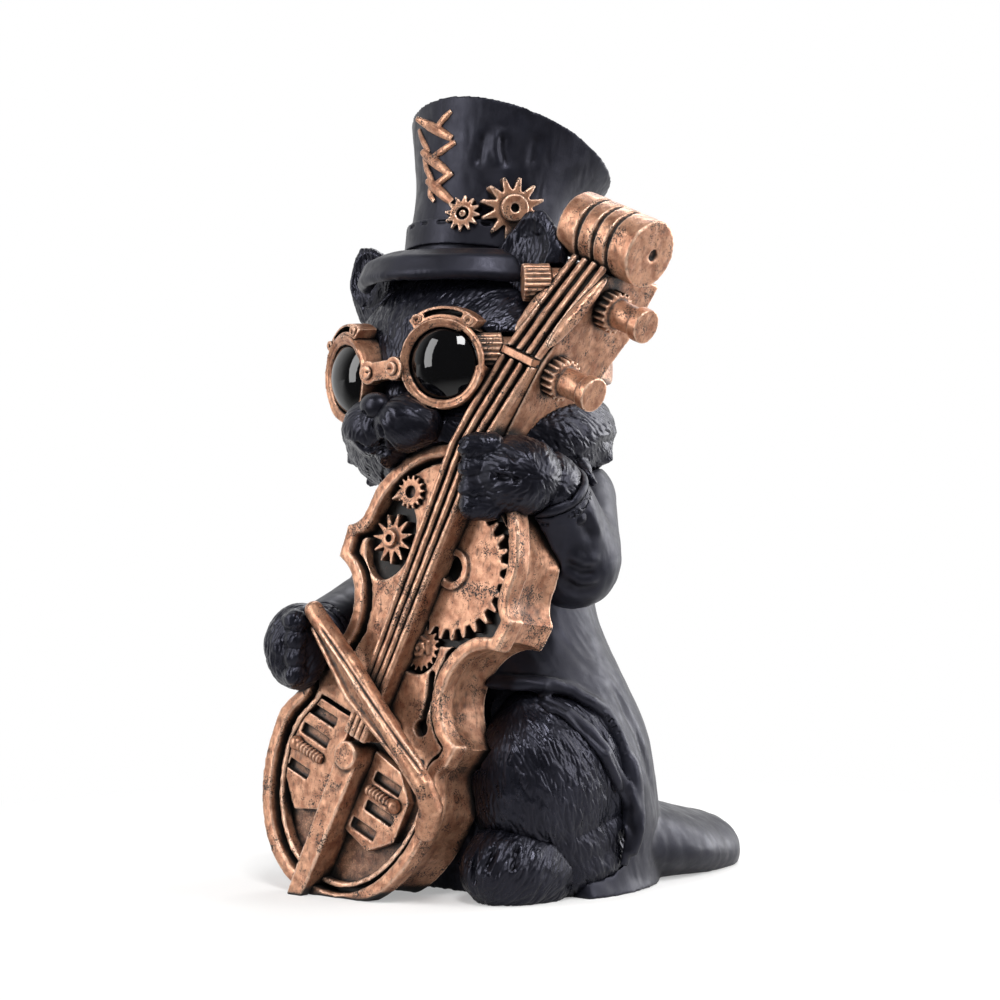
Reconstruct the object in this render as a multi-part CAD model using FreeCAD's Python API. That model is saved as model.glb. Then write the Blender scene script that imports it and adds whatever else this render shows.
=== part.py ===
import FreeCAD
import Part
import os
from math import cos, pi, radians, sin

Vector = FreeCAD.Vector

# A seated cat musician, a cast and painted figurine that stands on a flat base.
# Lengths are millimetres. +X is the cat's left, -Y is the way it faces, +Z is up.
# The model is drawn about the axis of the torso, on the floor, and then moved so
# that the origin is the centre of the bottom of its bounding box.

# General values
overrun = 2.0                   # how far a cutting tool passes the face that it cuts
floor_dip = 5.0                 # how far standing pieces run below the floor before they are cut flat
seat_depth = 1.0                # how far an applied ornament is bedded into what carries it
ROUND_POINTS = 16               # points round a soft section
SMALLEST_PIECE_SHARE = 0.02     # crumbs under this share of a trimmed piece's volume are dropped

# Torso and coat
torso_height = 96.0
torso_width = 50.0
torso_depth = 48.0
coat_wall = 3.0
coat_flare = 11.0               # how far the skirt of the coat stands off the body at the floor
coat_front_height = 47.0        # the hem across the front
hem_gap = 2.2                   # shadow gap between the hem and the thigh

# height, half width, half depth, shift to the back, flare of the coat
BODY_SECTION_SHARES = (
    (0.00, 0.88, 0.92, 0.08, 1.00),
    (0.22, 1.00, 1.00, 0.02, 0.80),
    (0.44, 0.90, 0.80, -0.08, 0.75),
    (0.62, 0.79, 0.75, 0.00, 0.10),
    (0.78, 0.76, 0.70, 0.00, 0.00),
    (0.91, 0.80, 0.58, 0.00, 0.00),
    (1.00, 0.50, 0.48, 0.00, 0.00),
)

train_reach = 63.0              # from the torso's axis back to the tip
train_width = 68.0
train_height = 26.0
train_sway = 14.0               # how far the tip swings to the cat's left

# reach, sway, half width, top
TRAIN_SECTION_SHARES = (
    (0.16, 0.06, 1.00, 1.00),
    (0.44, 0.28, 0.88, 0.80),
    (0.67, 0.57, 0.71, 0.60),
    (0.86, 0.86, 0.47, 0.50),
    (0.97, 1.00, 0.26, 0.40),
    (1.00, 1.00, 0.12, 0.30),
)

# Legs
thigh_width = 30.0
thigh_depth = 40.0
thigh_height = 46.0
foot_width = 22.0
foot_length = 32.0
foot_height = 18.0
toe_crease = 0.8
TOE_SLOPE_SHARE = 0.25          # how far back a crease runs for its rise

THIGH_PLACE_SHARES = (0.88, -0.36)      # of the torso's half width and half depth
FOOT_PLACE_SHARES = (0.90, -0.74)

# Arms
shoulder_radius = 10.5
elbow_radius = 11.0
wrist_radius = 8.2
cuff_radius = 8.4
cuff_roll = 1.3                 # radius of one rolled fold of the cuff
cuff_folds = 3
forearm_radius = 7.6
paw_length = 20.0
paw_width = 19.0
paw_height = 18.0
finger_radius = 3.4
finger_length = 12.0
FINGER_COUNT = 4

SHOULDER_PLACE_SHARES = (0.86, 0.0, 0.91)       # of the torso's half width, half depth and height
ELBOW_LEFT_SHARES = (1.18, -0.36, 0.78)
ELBOW_RIGHT_SHARES = (-1.30, -0.17, 0.65)

# Head
skull_width = 62.0
skull_depth = 54.0
skull_height = 52.0
neck_sink = 5.0                 # how far the skull comes down over the top of the torso
head_forward = 7.6
ruff_width = 68.0
ruff_depth = 56.0
ruff_height = 34.0
ruff_drop = 14.0                # from the middle of the skull down to the middle of the ruff
muzzle_pad_radius = 6.6
muzzle_forward = 29.0           # from the middle of the skull out to the pads
muzzle_drop = 12.5
chin_radius = 5.6
nose_width = 7.0
nose_height = 5.0
nose_depth = 5.0
head_roll = 5.0                 # degrees, the left side is held higher
tuft_length = 7.0
tuft_radius = 3.6
TUFT_COUNT = 3
tuft_spread = 24.0              # degrees between neighbouring tufts
# drop of the way each tuft points and of its root, the even tufts first
TUFT_DROOP_SHARES = (0.55, 0.67)
TUFT_ROOT_SHARES = (0.10, 0.20)

ear_width = 25.0
ear_depth = 11.0
ear_hollow = 0.72               # share of the ear's width that is scooped out
EAR_FOOT_SHARES = (0.60, -0.16, 0.55)           # of the skull's half sizes
EAR_TIP_SHARES = (0.86, -0.24, 1.26)

# Hat
crown_foot_lean = 11.0          # degrees that the foot of the crown leans back
crown_top_lean = 27.0
crown_height = 28.0
crown_foot_radius = 17.7
crown_top_radius = 24.5
band_height = 6.0
band_thickness = 1.1
band_slit_length = 2.6
band_slit_width = 0.7
BAND_SLITS = 22
brim_radius = 28.8
brim_thickness = 2.2
brim_flat = 6.0                 # flat part of the brim outside the crown
brim_droop = 6.0
brim_lean = 4.0
CROWN_FOOT_SHARES = (0.0, 0.18, 0.98)           # of the skull's half sizes
# height, how much of the flare is reached
CROWN_FLARE_SHARES = ((0.0, 0.0), (0.25, 0.04), (0.5, 0.20), (0.75, 0.52), (1.0, 1.0))

hat_gear_tip = 7.2
hat_gear_root = 4.3
hat_gear_thickness = 2.6
hat_gear_teeth = 12
HAT_TOOTH_SHARES = (0.12, 0.75)                 # how wide a tooth is at its point and its foot
hat_gear_bearing = 56.0         # degrees round the crown, from the front to the cat's left
hat_gear_height = 8.4
hub_radius = 3.0
hub_bore = 1.1
hub_height = 1.8
small_hat_gear_tip = 4.1
small_hat_gear_root = 2.7
small_hat_gear_bore = 1.6
small_hat_gear_bearing = 24.0
small_hat_gear_height = 5.8
small_hat_gear_thickness = 2.0
pin_radius = 0.7

lace_radius = 1.25
thin_lace_radius = 0.7
lace_bearing = -9.0
lace_spread = 10.0              # degrees either side of the bearing
LACE_STITCHES = 3
LACE_SPAN_SHARES = (0.34, 0.92)                 # of the crown's height

# Goggles
lens_radius = 8.2
lens_dome = 3.4
rim_radius = 10.1
rim_depth = 8.0
rim_stand = 1.6                 # how far the outer bead stands proud of the rim
bezel_width = 0.7
goggle_splay = 19.0             # degrees that each eyepiece turns outwards
goggle_tip = 3.0                # degrees that each eyepiece looks down
LENS_PLACE_SHARES = (0.47, -1.00, -0.02)        # of the skull's half sizes
bridge_width = 13.0
bridge_height = 5.2
bridge_thickness = 3.0
screw_radius = 1.5
screw_height = 0.9
screw_slot = 0.4
bracket_width = 2.4
bracket_depth = 4.6
bracket_turn = 8.0              # degrees that each bracket is turned outwards
bracket_spread = 42.0           # degrees either side of the top
slot_width = 1.1
slot_spread = 24.0
rivet_radius = 1.25
rivet_height = 0.9
strap_height = 7.0
strap_thickness = 1.6
strap_drop = 1.0
STRAP_FRONT_SHARE = 0.80        # how far round to the front the strap comes, of the skull's half depth

# Cello
cello_length = 107.0            # along the body, from its foot to the top of the upper bout
cello_width = 52.0
cello_depth = 15.0
cello_foot_left = -18.7         # where the foot of the front stands, measured from the torso's axis
cello_foot_front = -43.8
cello_side_lean = 22.25         # degrees towards the cat's left
cello_back_lean = 6.9           # degrees back towards the cat
panel_depth = 3.0
rim_width = 3.0
rim_height = 1.5                # how far the rim stands proud of the panel
rib_inset = 0.7
groove_width = 1.1

# The right half of the outline, up from the foot: half width and length shares
LOWER_BOUT_SHARES = ((0.40, 0.02), (0.70, 0.075), (0.91, 0.16), (1.0, 0.26), (0.97, 0.33), (0.88, 0.378),
                     (0.94, 0.402))
WAIST_SHARES = ((0.97, 0.452), (0.77, 0.475), (0.63, 0.53), (0.63, 0.58), (0.75, 0.635), (1.0, 0.665))
UPPER_BOUT_SHARES = ((1.03, 0.735), (0.91, 0.765), (0.885, 0.82), (0.795, 0.88), (0.61, 0.943), (0.30, 0.99),
                     (0.0, 1.0))

main_gear_tip = 15.5
main_gear_root = 13.2
main_gear_teeth = 28
main_gear_bore = 2.9
main_gear_thickness = 2.4
main_gear_boss = 4.5
main_gear_boss_height = 0.7
main_gear_recess = 17.0
MAIN_GEAR_SHARES = (0.19, 0.762)                # of the cello's half width and length

petal_gear_tip = 5.7
petal_gear_root = 3.0
petal_gear_teeth = 11
petal_gear_thickness = 2.6
PETAL_TOOTH_SHARES = (0.1, 0.8)                 # how wide a tooth is at its point and its foot
petal_boss_radius = 1.9
petal_boss_height = 1.2
petal_window_width = 13.5
petal_window_length = 19.0
PETAL_GEAR_SHARES = (-0.56, 0.752)

small_gear_tip = 3.8
small_gear_root = 2.9
small_gear_bore = 1.4
small_gear_teeth = 14
small_gear_thickness = 1.3
SMALL_GEAR_SHARES = (-0.50, 0.862)

lower_gear_tip = 5.2
lower_gear_root = 4.2
lower_gear_teeth = 18
lower_gear_thickness = 2.0
lower_gear_recess = 5.9
spiral_radius = 2.6
spiral_wire = 0.6
SPIRAL_STEPS = 12
SPIRAL_TURNS = 1.6
LOWER_GEAR_SHARES = (0.155, 0.583)

hole_curl_radius = 1.9
hole_slot_width = 1.5
SOUND_HOLE_SHARES = ((0.50, 0.44), (0.47, 0.50), (0.40, 0.55))
LEFT_HOLE_SHARES = ((-0.52, 0.55), (-0.55, 0.60), (-0.62, 0.64))
corner_slot_width = 2.0
CORNER_SLOT_SHARES = ((0.50, 0.60), (0.62, 0.655), (0.80, 0.70))

window_inset = 5.4              # of the sunk field in the lower bout, in from the outline
WINDOW_TOP_SHARE = 0.385
grille_thickness = 2.4
grille_slot = 2.4
grille_depth = 1.5
# outlines of the two grilles, of the cello's half width and length
LEFT_GRILLE_SHARES = ((-0.86, 0.30), (-0.66, 0.375), (-0.24, 0.375), (-0.24, 0.165), (-0.50, 0.135),
                      (-0.80, 0.20))
RIGHT_GRILLE_SHARES = ((0.12, 0.345), (0.46, 0.335), (0.66, 0.29), (0.66, 0.20), (0.42, 0.150), (0.10, 0.165))
# middle of each slot and its length, as shares of the cello's width
LEFT_SLOT_SHARES = ((-0.58, 0.345, 0.17), (-0.58, 0.298, 0.17), (-0.62, 0.215, 0.13))
RIGHT_SLOT_SHARES = ((0.37, 0.298, 0.16), (0.40, 0.235, 0.17), (0.30, 0.187, 0.15))
rod_radius = 0.9
rod_thread = 0.35
rod_pitch = 1.1
rod_length = 9.0
rod_ball = 1.7
LEFT_ROD_SHARES = (-0.38, 0.262)
RIGHT_ROD_SHARES = (0.20, 0.268)

tailpiece_length = 34.0
tailpiece_foot_width = 4.0
tailpiece_head_width = 6.4
tailpiece_height = 7.2
bridge_spread = 17.0
bridge_base = 5.0
BRIDGE_PLACE_SHARE = 0.415

# Strings, neck and scroll
fingerboard_height = 3.6
fingerboard_start_share = 0.36                  # of the cello's length
string_radius = 0.75
STRING_BED_SHARE = 0.44         # how high the middle of a string lies over the board, of its radius
BEND_SHARE = 1.06               # how thick a coiled wire is at each bend, of its radius
WIRE_SIDES = 8                  # the flat sides of a string
string_count = 4
string_spread_foot = 4.9
string_spread_nut = 8.4
neck_length = 53.0              # from the upper bout to the middle of the scroll, along the body
neck_width = 10.0
neck_drop = 17.3                # how far the middle of the scroll lies behind the front
nut_thickness = 2.2
nut_height = 1.0
# the path of the strings above the upper bout: shares of the neck's length and of its drop
STRING_RISE_SHARES = ((0.00, -0.26), (0.14, -0.16), (0.43, 0.10), (0.64, 0.36), (0.88, 0.70))
NUT_SHARES = (0.43, 0.10)
# the neck's side wall: shares of the neck's length and of its drop
NECK_FRONT_SHARES = ((-0.10, 0.02), (0.15, 0.06), (0.40, 0.17), (0.60, 0.36), (0.86, 0.80))
NECK_BACK_SHARES = ((0.88, 1.86), (0.62, 1.68), (0.46, 1.46), (0.17, 1.10), (0.00, 0.86), (-0.10, 0.75))
leaf_length = 21.0
leaf_width = 3.2
leaf_height = 1.6
LEAF_SHARES = (0.68, 0.46)
LEAF_PROUD_SHARE = 0.06         # how far the leaf's middle stands off the wall, of its width
scroll_radius = 7.6
scroll_length = 21.5
scroll_groove = 1.0
scroll_groove_width = 1.0
SCROLL_GROOVE_SHARES = (-0.22, 0.0, 0.20)
scroll_eye = 1.3
scroll_eye_offset = 1.2

peg_radius = 3.2
peg_reach = 17.0                # from the neck's middle plane out to the end of a near peg
peg_disc_radius = 3.85
peg_disc_length = 2.6
collar_radius = 4.8
collar_root = 4.1
collar_length = 3.4
collar_teeth = 18
knob_radius = 4.2
knob_root = 3.8
knob_length = 6.0
knob_teeth = 20
knob_reach = 9.5
peg_sink = 3.5                  # how deep a far peg starts inside the neck
# neck side, shares of the neck's length and drop
PEG_SHARES = ((1, 0.40, 0.52), (1, 0.725, 1.00), (-1, 0.43, 0.34), (-1, 0.76, 0.74))
FAR_PEG_WAY = (-0.61, -0.35, 0.71)              # across, along and off the front, for the far pegs
KNOB_CLEARANCES = (0.0, 4.0, 8.0)               # clear air before each far knob

# Bow
bow_radius = 2.2
bow_end_radius = 2.6
hair_radius = 0.8
web_thickness = 1.6
# shares of the cello's half width and length, and height off the panel in bow heights
bow_lift = 8.2
BOW_STICK_SHARES = ((-0.80, 0.555, 1.0), (-0.20, 0.505, 1.10), (0.42, 0.437, 1.05), (0.98, 0.365, 0.85),
                    (1.06, 0.325, 0.55), (1.02, 0.275, 0.25))
BOW_HAIR_SHARES = ((-0.74, 0.520, 0.95), (-0.10, 0.435, 0.95), (0.62, 0.378, 0.80), (0.95, 0.330, 0.55))

PAW_LEFT_SHARES = (0.42, 0.99, -0.13)          # of the cello's half width, length and depth
PAW_RIGHT_SHARES = (-0.98, 0.457, 0.20)


# Solid helpers

def blob(centre, half_x, half_y, half_z, roll=0.0):
    """An egg: a unit ball stretched to three half sizes and rolled about the Y axis."""
    matrix = FreeCAD.Matrix()
    matrix.scale(Vector(half_x, half_y, half_z))
    egg = Part.makeSphere(1).transformGeometry(matrix)
    egg.Placement = FreeCAD.Placement(centre, FreeCAD.Rotation(Vector(0, 1, 0), roll))
    return egg


def fuse(shapes):
    """One shape from several that overlap."""
    return shapes[0].multiFuse(shapes[1:]) if len(shapes) > 1 else shapes[0]


def limb(points, radii, ball_share=1.0):
    """Balls at the points, joined by straight cones: an arm, a lace or a wire."""
    pieces = [Part.makeSphere(radius * ball_share, point) for point, radius in zip(points, radii)]
    for start, end, first, last in zip(points, points[1:], radii, radii[1:]):
        way = end - start
        if first == last:
            pieces.append(Part.makeCylinder(first, way.Length, start, way))
        else:
            pieces.append(Part.makeCone(first, last, way.Length, start, way))
    return fuse(pieces)


def wire(points, radius):
    """A cast wire in a plane across X: flat-sided sections at its points, joined straight."""
    sections = []
    for before, point, after in zip([points[0]] + points[:-1], points, points[1:] + [points[-1]]):
        across = Vector(1, 0, 0)
        up = across.cross(after - before).normalize()
        outline = []
        for step in range(WIRE_SIDES):
            angle = 2 * pi * (step + 0.5) / WIRE_SIDES
            outline.append(point + across * (radius * cos(angle)) + up * (radius * sin(angle)))
        sections.append(Part.makePolygon(outline + [outline[0]]))
    return Part.makeLoft(sections, True, True)


def soft_section(centre, half_x, half_y, upright=False):
    """A closed smooth oval about a centre, level or, for the train, standing across Y."""
    points = []
    for step in range(ROUND_POINTS):
        angle = 2 * pi * step / ROUND_POINTS
        rise = half_y * sin(angle)
        offset = Vector(half_x * cos(angle), 0, rise) if upright else Vector(half_x * cos(angle), rise, 0)
        points.append(centre + offset)
    curve = Part.BSplineCurve()
    curve.interpolate(Points=points, PeriodicFlag=True)
    return Part.Wire([curve.toShape()])


def prism(points, height):
    """A straight-sided block on a closed outline of points, raised along +Z."""
    outline = Part.makePolygon(list(points) + [points[0]])
    return Part.Face(outline).extrude(Vector(0, 0, height))


def turned(profile, angle=360.0):
    """A solid of revolution about Z from points of radius and height."""
    points = [Vector(radius, 0, height) for radius, height in profile]
    face = Part.Face(Part.makePolygon(points + [points[0]]))
    return face.revolve(Vector(0, 0, 0), Vector(0, 0, 1), angle)


def gear(tip, root, teeth, thickness, point_share=0.22, foot_share=0.62, bore=0.0):
    """A gear lying on Z = 0: point and foot shares set how wide a tooth is at its tip and foot."""
    points = []
    pitch = 2 * pi / teeth
    for index in range(teeth):
        middle = index * pitch
        corners = ((root, -foot_share), (tip, -point_share), (tip, point_share), (root, foot_share))
        for radius, share in corners:
            angle = middle + share * pitch / 2
            points.append(Vector(radius * cos(angle), radius * sin(angle), 0))
    body = prism(points, thickness)
    if bore:
        body = body.cut(Part.makeCylinder(bore, thickness + 2 * overrun, Vector(0, 0, -overrun)))
    return body


def placed(shape, placement):
    """The shape, moved from its own frame to where the placement says."""
    shape.Placement = placement.multiply(shape.Placement)
    return shape


def facing(origin, outward, across=Vector(1, 0, 0)):
    """A frame at the origin with Z pointing outward and X as near to across as it can be."""
    normal = Vector(outward).normalize()
    side = Vector(across) - normal * normal.dot(across)
    side.normalize()
    up = normal.cross(side)
    matrix = FreeCAD.Matrix(side.x, up.x, normal.x, origin.x, side.y, up.y, normal.y, origin.y,
                            side.z, up.z, normal.z, origin.z, 0, 0, 0, 1)
    return FreeCAD.Placement(matrix)


def floor_block():
    """Everything below the floor, to cut standing pieces flat."""
    reach = 2 * (train_reach + cello_width + torso_height)
    depth = torso_height
    return Part.makeBox(2 * reach, 2 * reach, depth, Vector(-reach, -reach, -depth))


def above_floor(shape):
    """The shape with what lies under the floor cut away."""
    return shape.cut(floor_block())


# Torso, coat and legs

def body_loft(wall, flare):
    """The torso when wall and flare are zero, otherwise the outside of the coat."""
    sections = []
    for height, wide, deep, shift, flare_share in BODY_SECTION_SHARES:
        extra = wall + flare * flare_share
        centre = Vector(0, shift * torso_depth / 2, height * torso_height)
        sections.append(soft_section(centre, wide * torso_width / 2 + extra, deep * torso_depth / 2 + extra))
    return Part.makeLoft(sections, True)


def train():
    """The tail of the coat, spread on the floor behind the cat."""
    sections = []
    for reach, sway, wide, top in TRAIN_SECTION_SHARES:
        half_height = (top * train_height + floor_dip) / 2
        centre = Vector(sway * train_sway, reach * train_reach, half_height - floor_dip)
        sections.append(soft_section(centre, wide * train_width / 2, half_height, upright=True))
    return Part.makeLoft(sections, True)


def coat():
    """The tail coat: a shell round the torso, open in front and arched over both thighs."""
    shell = body_loft(coat_wall, coat_flare).fuse(above_floor(train()))
    reach = torso_depth + torso_width
    hem_back = THIGH_PLACE_SHARES[1] * torso_depth / 2
    shell = shell.cut(Part.makeBox(2 * reach, reach, coat_front_height + overrun,
                                   Vector(-reach, hem_back - reach, -overrun)))
    for side in (1, -1):
        shell = shell.cut(thigh_form(side, hem_gap))
    return shell


def thigh_form(side, gap):
    """A thigh and haunch, grown by a gap: an upper egg run into a lower, broader one."""
    half_x = thigh_width / 2 + gap
    half_y = thigh_depth / 2 + gap
    half_z = thigh_height / 2 + gap
    place_x = side * THIGH_PLACE_SHARES[0] * torso_width / 2
    place_y = THIGH_PLACE_SHARES[1] * torso_depth / 2
    upper = blob(Vector(place_x, place_y, half_z * 1.1 - gap), half_x, half_y, half_z * 0.9)
    lower = blob(Vector(place_x * 0.95, place_y * 0.5, half_z * 0.55), half_x, half_y * 0.95, half_z * 0.62)
    return above_floor(upper.fuse(lower))


def foot(side):
    """A hind foot, flat underneath, with creases between its toes."""
    place = torso_point((side * FOOT_PLACE_SHARES[0], FOOT_PLACE_SHARES[1], 0))
    middle = place + Vector(0, 0, foot_height * 0.4)
    body = above_floor(blob(middle, foot_width / 2, foot_length / 2, foot_height * 0.6))
    for index in (-1, 0, 1):
        start = place + Vector(index * foot_width / 5, -foot_length * 0.56, -overrun)
        way = Vector(0, TOE_SLOPE_SHARE, 1)
        body = body.cut(Part.makeCylinder(toe_crease, foot_height + overrun, start, way))
    return body


# Head

def skull_centre():
    """The middle of the skull."""
    return Vector(0, -head_forward, torso_height - neck_sink + skull_height / 2)


def skull_point(shares):
    """A place on the head from shares of the skull's half sizes, rolled with the head."""
    offset = Vector(shares[0] * skull_width / 2, shares[1] * skull_depth / 2, shares[2] * skull_height / 2)
    roll = FreeCAD.Rotation(Vector(0, 1, 0), -head_roll)
    return skull_centre() + roll.multVec(offset)


def skull(gap=0.0):
    """The skull alone, grown by a gap."""
    halves = [size / 2 + gap for size in (skull_width, skull_depth, skull_height)]
    return blob(skull_centre(), *halves, -head_roll)


def muzzle_point(side, forward, drop):
    """A place on the muzzle, out from the middle of the skull and down from it."""
    roll = FreeCAD.Rotation(Vector(0, 1, 0), -head_roll)
    return skull_centre() + roll.multVec(Vector(side, -forward, -drop))


def cheek_tufts():
    """Pointed tufts of fur that hang from both cheeks of the ruff."""
    middle = skull_centre() - Vector(0, 0, ruff_drop)
    tufts = []
    for side in (1, -1):
        for index in range(TUFT_COUNT):
            bearing = radians(tuft_spread * (index - 1))
            out = Vector(side * cos(bearing), sin(bearing), -TUFT_DROOP_SHARES[index % 2])
            root = middle + Vector(side * cos(bearing) * ruff_width * 0.42, sin(bearing) * ruff_depth * 0.42,
                                   -ruff_height * TUFT_ROOT_SHARES[index % 2])
            tip = root + out.normalize() * tuft_length
            tufts.append(limb([root, tip], [tuft_radius, tuft_radius * 0.35]))
    return tufts


def head():
    """Skull, ruff, muzzle pads, chin and the bridge of the nose, in one."""
    pieces = [skull()]
    pieces.append(ruff())
    for side in (1, -1):
        pad = muzzle_point(side * muzzle_pad_radius * 0.9, muzzle_forward, muzzle_drop)
        pieces.append(blob(pad, muzzle_pad_radius * 1.1, muzzle_pad_radius, muzzle_pad_radius))
    chin = muzzle_point(0, muzzle_forward * 0.92, muzzle_drop + muzzle_pad_radius * 0.95)
    pieces.append(blob(chin, chin_radius, chin_radius, chin_radius * 0.8))
    ridge = muzzle_point(0, muzzle_forward * 0.77, muzzle_drop * 0.58)
    pieces.append(blob(ridge, muzzle_pad_radius * 0.8, muzzle_pad_radius, muzzle_pad_radius * 1.3))
    pieces.extend(cheek_tufts())
    return fuse(pieces)


def nose():
    """The nose leather at the front of the muzzle."""
    tip = muzzle_point(0, muzzle_forward + muzzle_pad_radius * 0.72, muzzle_drop - muzzle_pad_radius * 0.62)
    return blob(tip, nose_width / 2, nose_depth / 2, nose_height / 2)


def ruff():
    """The thick ruff of fur under the cheeks and round the neck."""
    return blob(skull_centre() - Vector(0, 0, ruff_drop), ruff_width / 2, ruff_depth / 2, ruff_height / 2)


def ear_form(side):
    """The full outside of an ear, from its oval foot to its round tip."""
    foot_at = skull_point((side * EAR_FOOT_SHARES[0], EAR_FOOT_SHARES[1], EAR_FOOT_SHARES[2]))
    tip_at = skull_point((side * EAR_TIP_SHARES[0], EAR_TIP_SHARES[1], EAR_TIP_SHARES[2]))
    sections = []
    for share, size in ((0.0, 1.0), (0.45, 0.86), (0.8, 0.5), (1.0, 0.16)):
        centre = foot_at + (tip_at - foot_at) * share
        sections.append(soft_section(centre, size * ear_width / 2, size * ear_depth / 2))
    return Part.makeLoft(sections, True)


def ear(side):
    """An ear with its front scooped out."""
    foot_at = skull_point((side * EAR_FOOT_SHARES[0], EAR_FOOT_SHARES[1], EAR_FOOT_SHARES[2]))
    tip_at = skull_point((side * EAR_TIP_SHARES[0], EAR_TIP_SHARES[1], EAR_TIP_SHARES[2]))
    body = ear_form(side)
    way = tip_at - foot_at
    scoop_at = foot_at + way * 0.62 + Vector(side * ear_width * 0.04, -ear_depth * 0.52, 0)
    scoop = blob(scoop_at, ear_hollow * ear_width / 2, ear_depth * 0.42, way.Length * 0.42)
    return body.cut(scoop)


# Hat

def crown_radius(height):
    """The radius of the crown at a height above its foot."""
    share = min(max(height / crown_height, 0.0), 1.0)
    for (low, low_flare), (high, high_flare) in zip(CROWN_FLARE_SHARES, CROWN_FLARE_SHARES[1:]):
        if share <= high:
            flare = low_flare + (high_flare - low_flare) * (share - low) / (high - low)
            break
    return crown_foot_radius + (crown_top_radius - crown_foot_radius) * flare


def crown_frame(height):
    """The frame of the crown's ring at a height: the crown bends back as it rises."""
    share = height / crown_height
    half_way = radians(crown_foot_lean + (crown_top_lean - crown_foot_lean) * share / 2)
    centre = skull_point(CROWN_FOOT_SHARES) + Vector(0, sin(half_way), cos(half_way)) * height
    lean = crown_foot_lean + (crown_top_lean - crown_foot_lean) * max(share, 0.0)
    return FreeCAD.Placement(centre, FreeCAD.Rotation(Vector(1, 0, 0), -lean))


def hat_crown():
    """The tall crown, flared in a hollow curve and bent back to a closed, tilted top."""
    rings = []
    heights = [-floor_dip] + [share * crown_height for share, flare in CROWN_FLARE_SHARES]
    for height in heights:
        ring = Part.Wire([Part.makeCircle(crown_radius(height))])
        rings.append(placed(ring, crown_frame(height)))
    return Part.makeLoft(rings, True)


def hat_band():
    """The band round the foot of the crown, with a row of short slits near its top."""
    foot_out = crown_foot_radius + band_thickness
    top_out = crown_radius(band_height) + band_thickness
    ring = turned([(crown_foot_radius - seat_depth, 0), (foot_out, 0), (top_out, band_height),
                   (crown_foot_radius - seat_depth, band_height)])
    for index in range(BAND_SLITS):
        bearing = 360.0 * index / BAND_SLITS
        slit = Part.makeBox(band_thickness + overrun, band_slit_length, band_slit_width,
                            Vector(top_out - band_thickness / 2, -band_slit_length / 2, band_height * 0.78))
        slit.rotate(Vector(0, 0, 0), Vector(0, 0, 1), bearing)
        ring = ring.cut(slit)
    return placed(ring, crown_frame(0.0))


def hat_brim():
    """The brim: flat beside the crown, then rolled down to a thick edge."""
    inner = crown_foot_radius - seat_depth
    flat_end = crown_foot_radius + brim_flat
    edge = brim_thickness / 2
    turn = (flat_end + (brim_radius - flat_end) * 0.72, -brim_droop * 0.32)
    profile = [(inner, 0), (flat_end, 0), turn, (brim_radius, -brim_droop),
               (brim_radius - edge, -brim_droop - edge), (brim_radius - brim_thickness, -brim_droop),
               (turn[0] - brim_thickness, turn[1] - brim_thickness), (flat_end - edge, -brim_thickness),
               (inner, -brim_thickness)]
    level = FreeCAD.Placement(crown_frame(0.0).Base, FreeCAD.Rotation(Vector(1, 0, 0), -brim_lean))
    return placed(turned(profile), level)


def crown_seat(bearing, height):
    """A frame on the side of the crown, its Z pointing straight out of the felt."""
    angle = radians(bearing)
    rise = crown_height * 0.05
    low, high = [crown_frame(level).multVec(Vector(sin(angle), -cos(angle), 0) * crown_radius(level))
                 for level in (height - rise, height + rise)]
    around = crown_frame(height).Rotation.multVec(Vector(cos(angle), sin(angle), 0))
    return facing((low + high) / 2, around.cross(high - low), around)


def seated_on_crown(shape, bearing, height, lift):
    """The shape, put on the side of the crown with its underside bedded in."""
    frame = crown_seat(bearing, height)
    return placed(shape, frame.multiply(FreeCAD.Placement(Vector(0, 0, lift), FreeCAD.Rotation())))


def hat_lacing():
    """Thick slanting stitches with thin crossings between them, up the front of the crown."""
    low, high = (share * crown_height for share in LACE_SPAN_SHARES)
    step = (high - low) / LACE_STITCHES
    laces = []
    for index in range(LACE_STITCHES):
        bottom = low + step * index
        right_end = crown_seat(lace_bearing + lace_spread, bottom).Base
        middle = crown_seat(lace_bearing, bottom + step * 0.35).Base
        left_end = crown_seat(lace_bearing - lace_spread, bottom + step * 0.75).Base
        laces.append(limb([right_end, middle, left_end], [lace_radius] * 3))
        crossing = crown_seat(lace_bearing + lace_spread, bottom + step).Base
        laces.append(limb([left_end, crown_seat(lace_bearing, bottom + step * 0.85).Base, crossing],
                          [thin_lace_radius] * 3))
    return fuse(laces)


# Goggles

def eyepiece_frame(side):
    """The frame of one eyepiece: Z looks out along its axis."""
    centre = skull_point((side * LENS_PLACE_SHARES[0], LENS_PLACE_SHARES[1], LENS_PLACE_SHARES[2]))
    splay = radians(goggle_splay)
    outward = Vector(side * sin(splay), -cos(splay), -sin(radians(goggle_tip)))
    roll = FreeCAD.Rotation(Vector(0, 1, 0), -head_roll)
    return facing(centre, outward, roll.multVec(Vector(1, 0, 0)))


def goggle_rim(side):
    """A deep ring with a fine inner bezel, a step and a proud outer bead."""
    inner = lens_radius - bezel_width / 2
    step = rim_radius - bezel_width * 1.4
    profile = [(inner, -rim_depth), (rim_radius - bezel_width / 2, -rim_depth), (rim_radius, 0),
               (rim_radius - bezel_width / 2, rim_stand), (step, rim_stand * 0.6),
               (step - bezel_width * 0.3, 0), (lens_radius + bezel_width * 0.7, 0),
               (lens_radius + bezel_width * 0.4, rim_stand * 0.7), (inner, rim_stand * 0.4)]
    return placed(turned(profile), eyepiece_frame(side))


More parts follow.
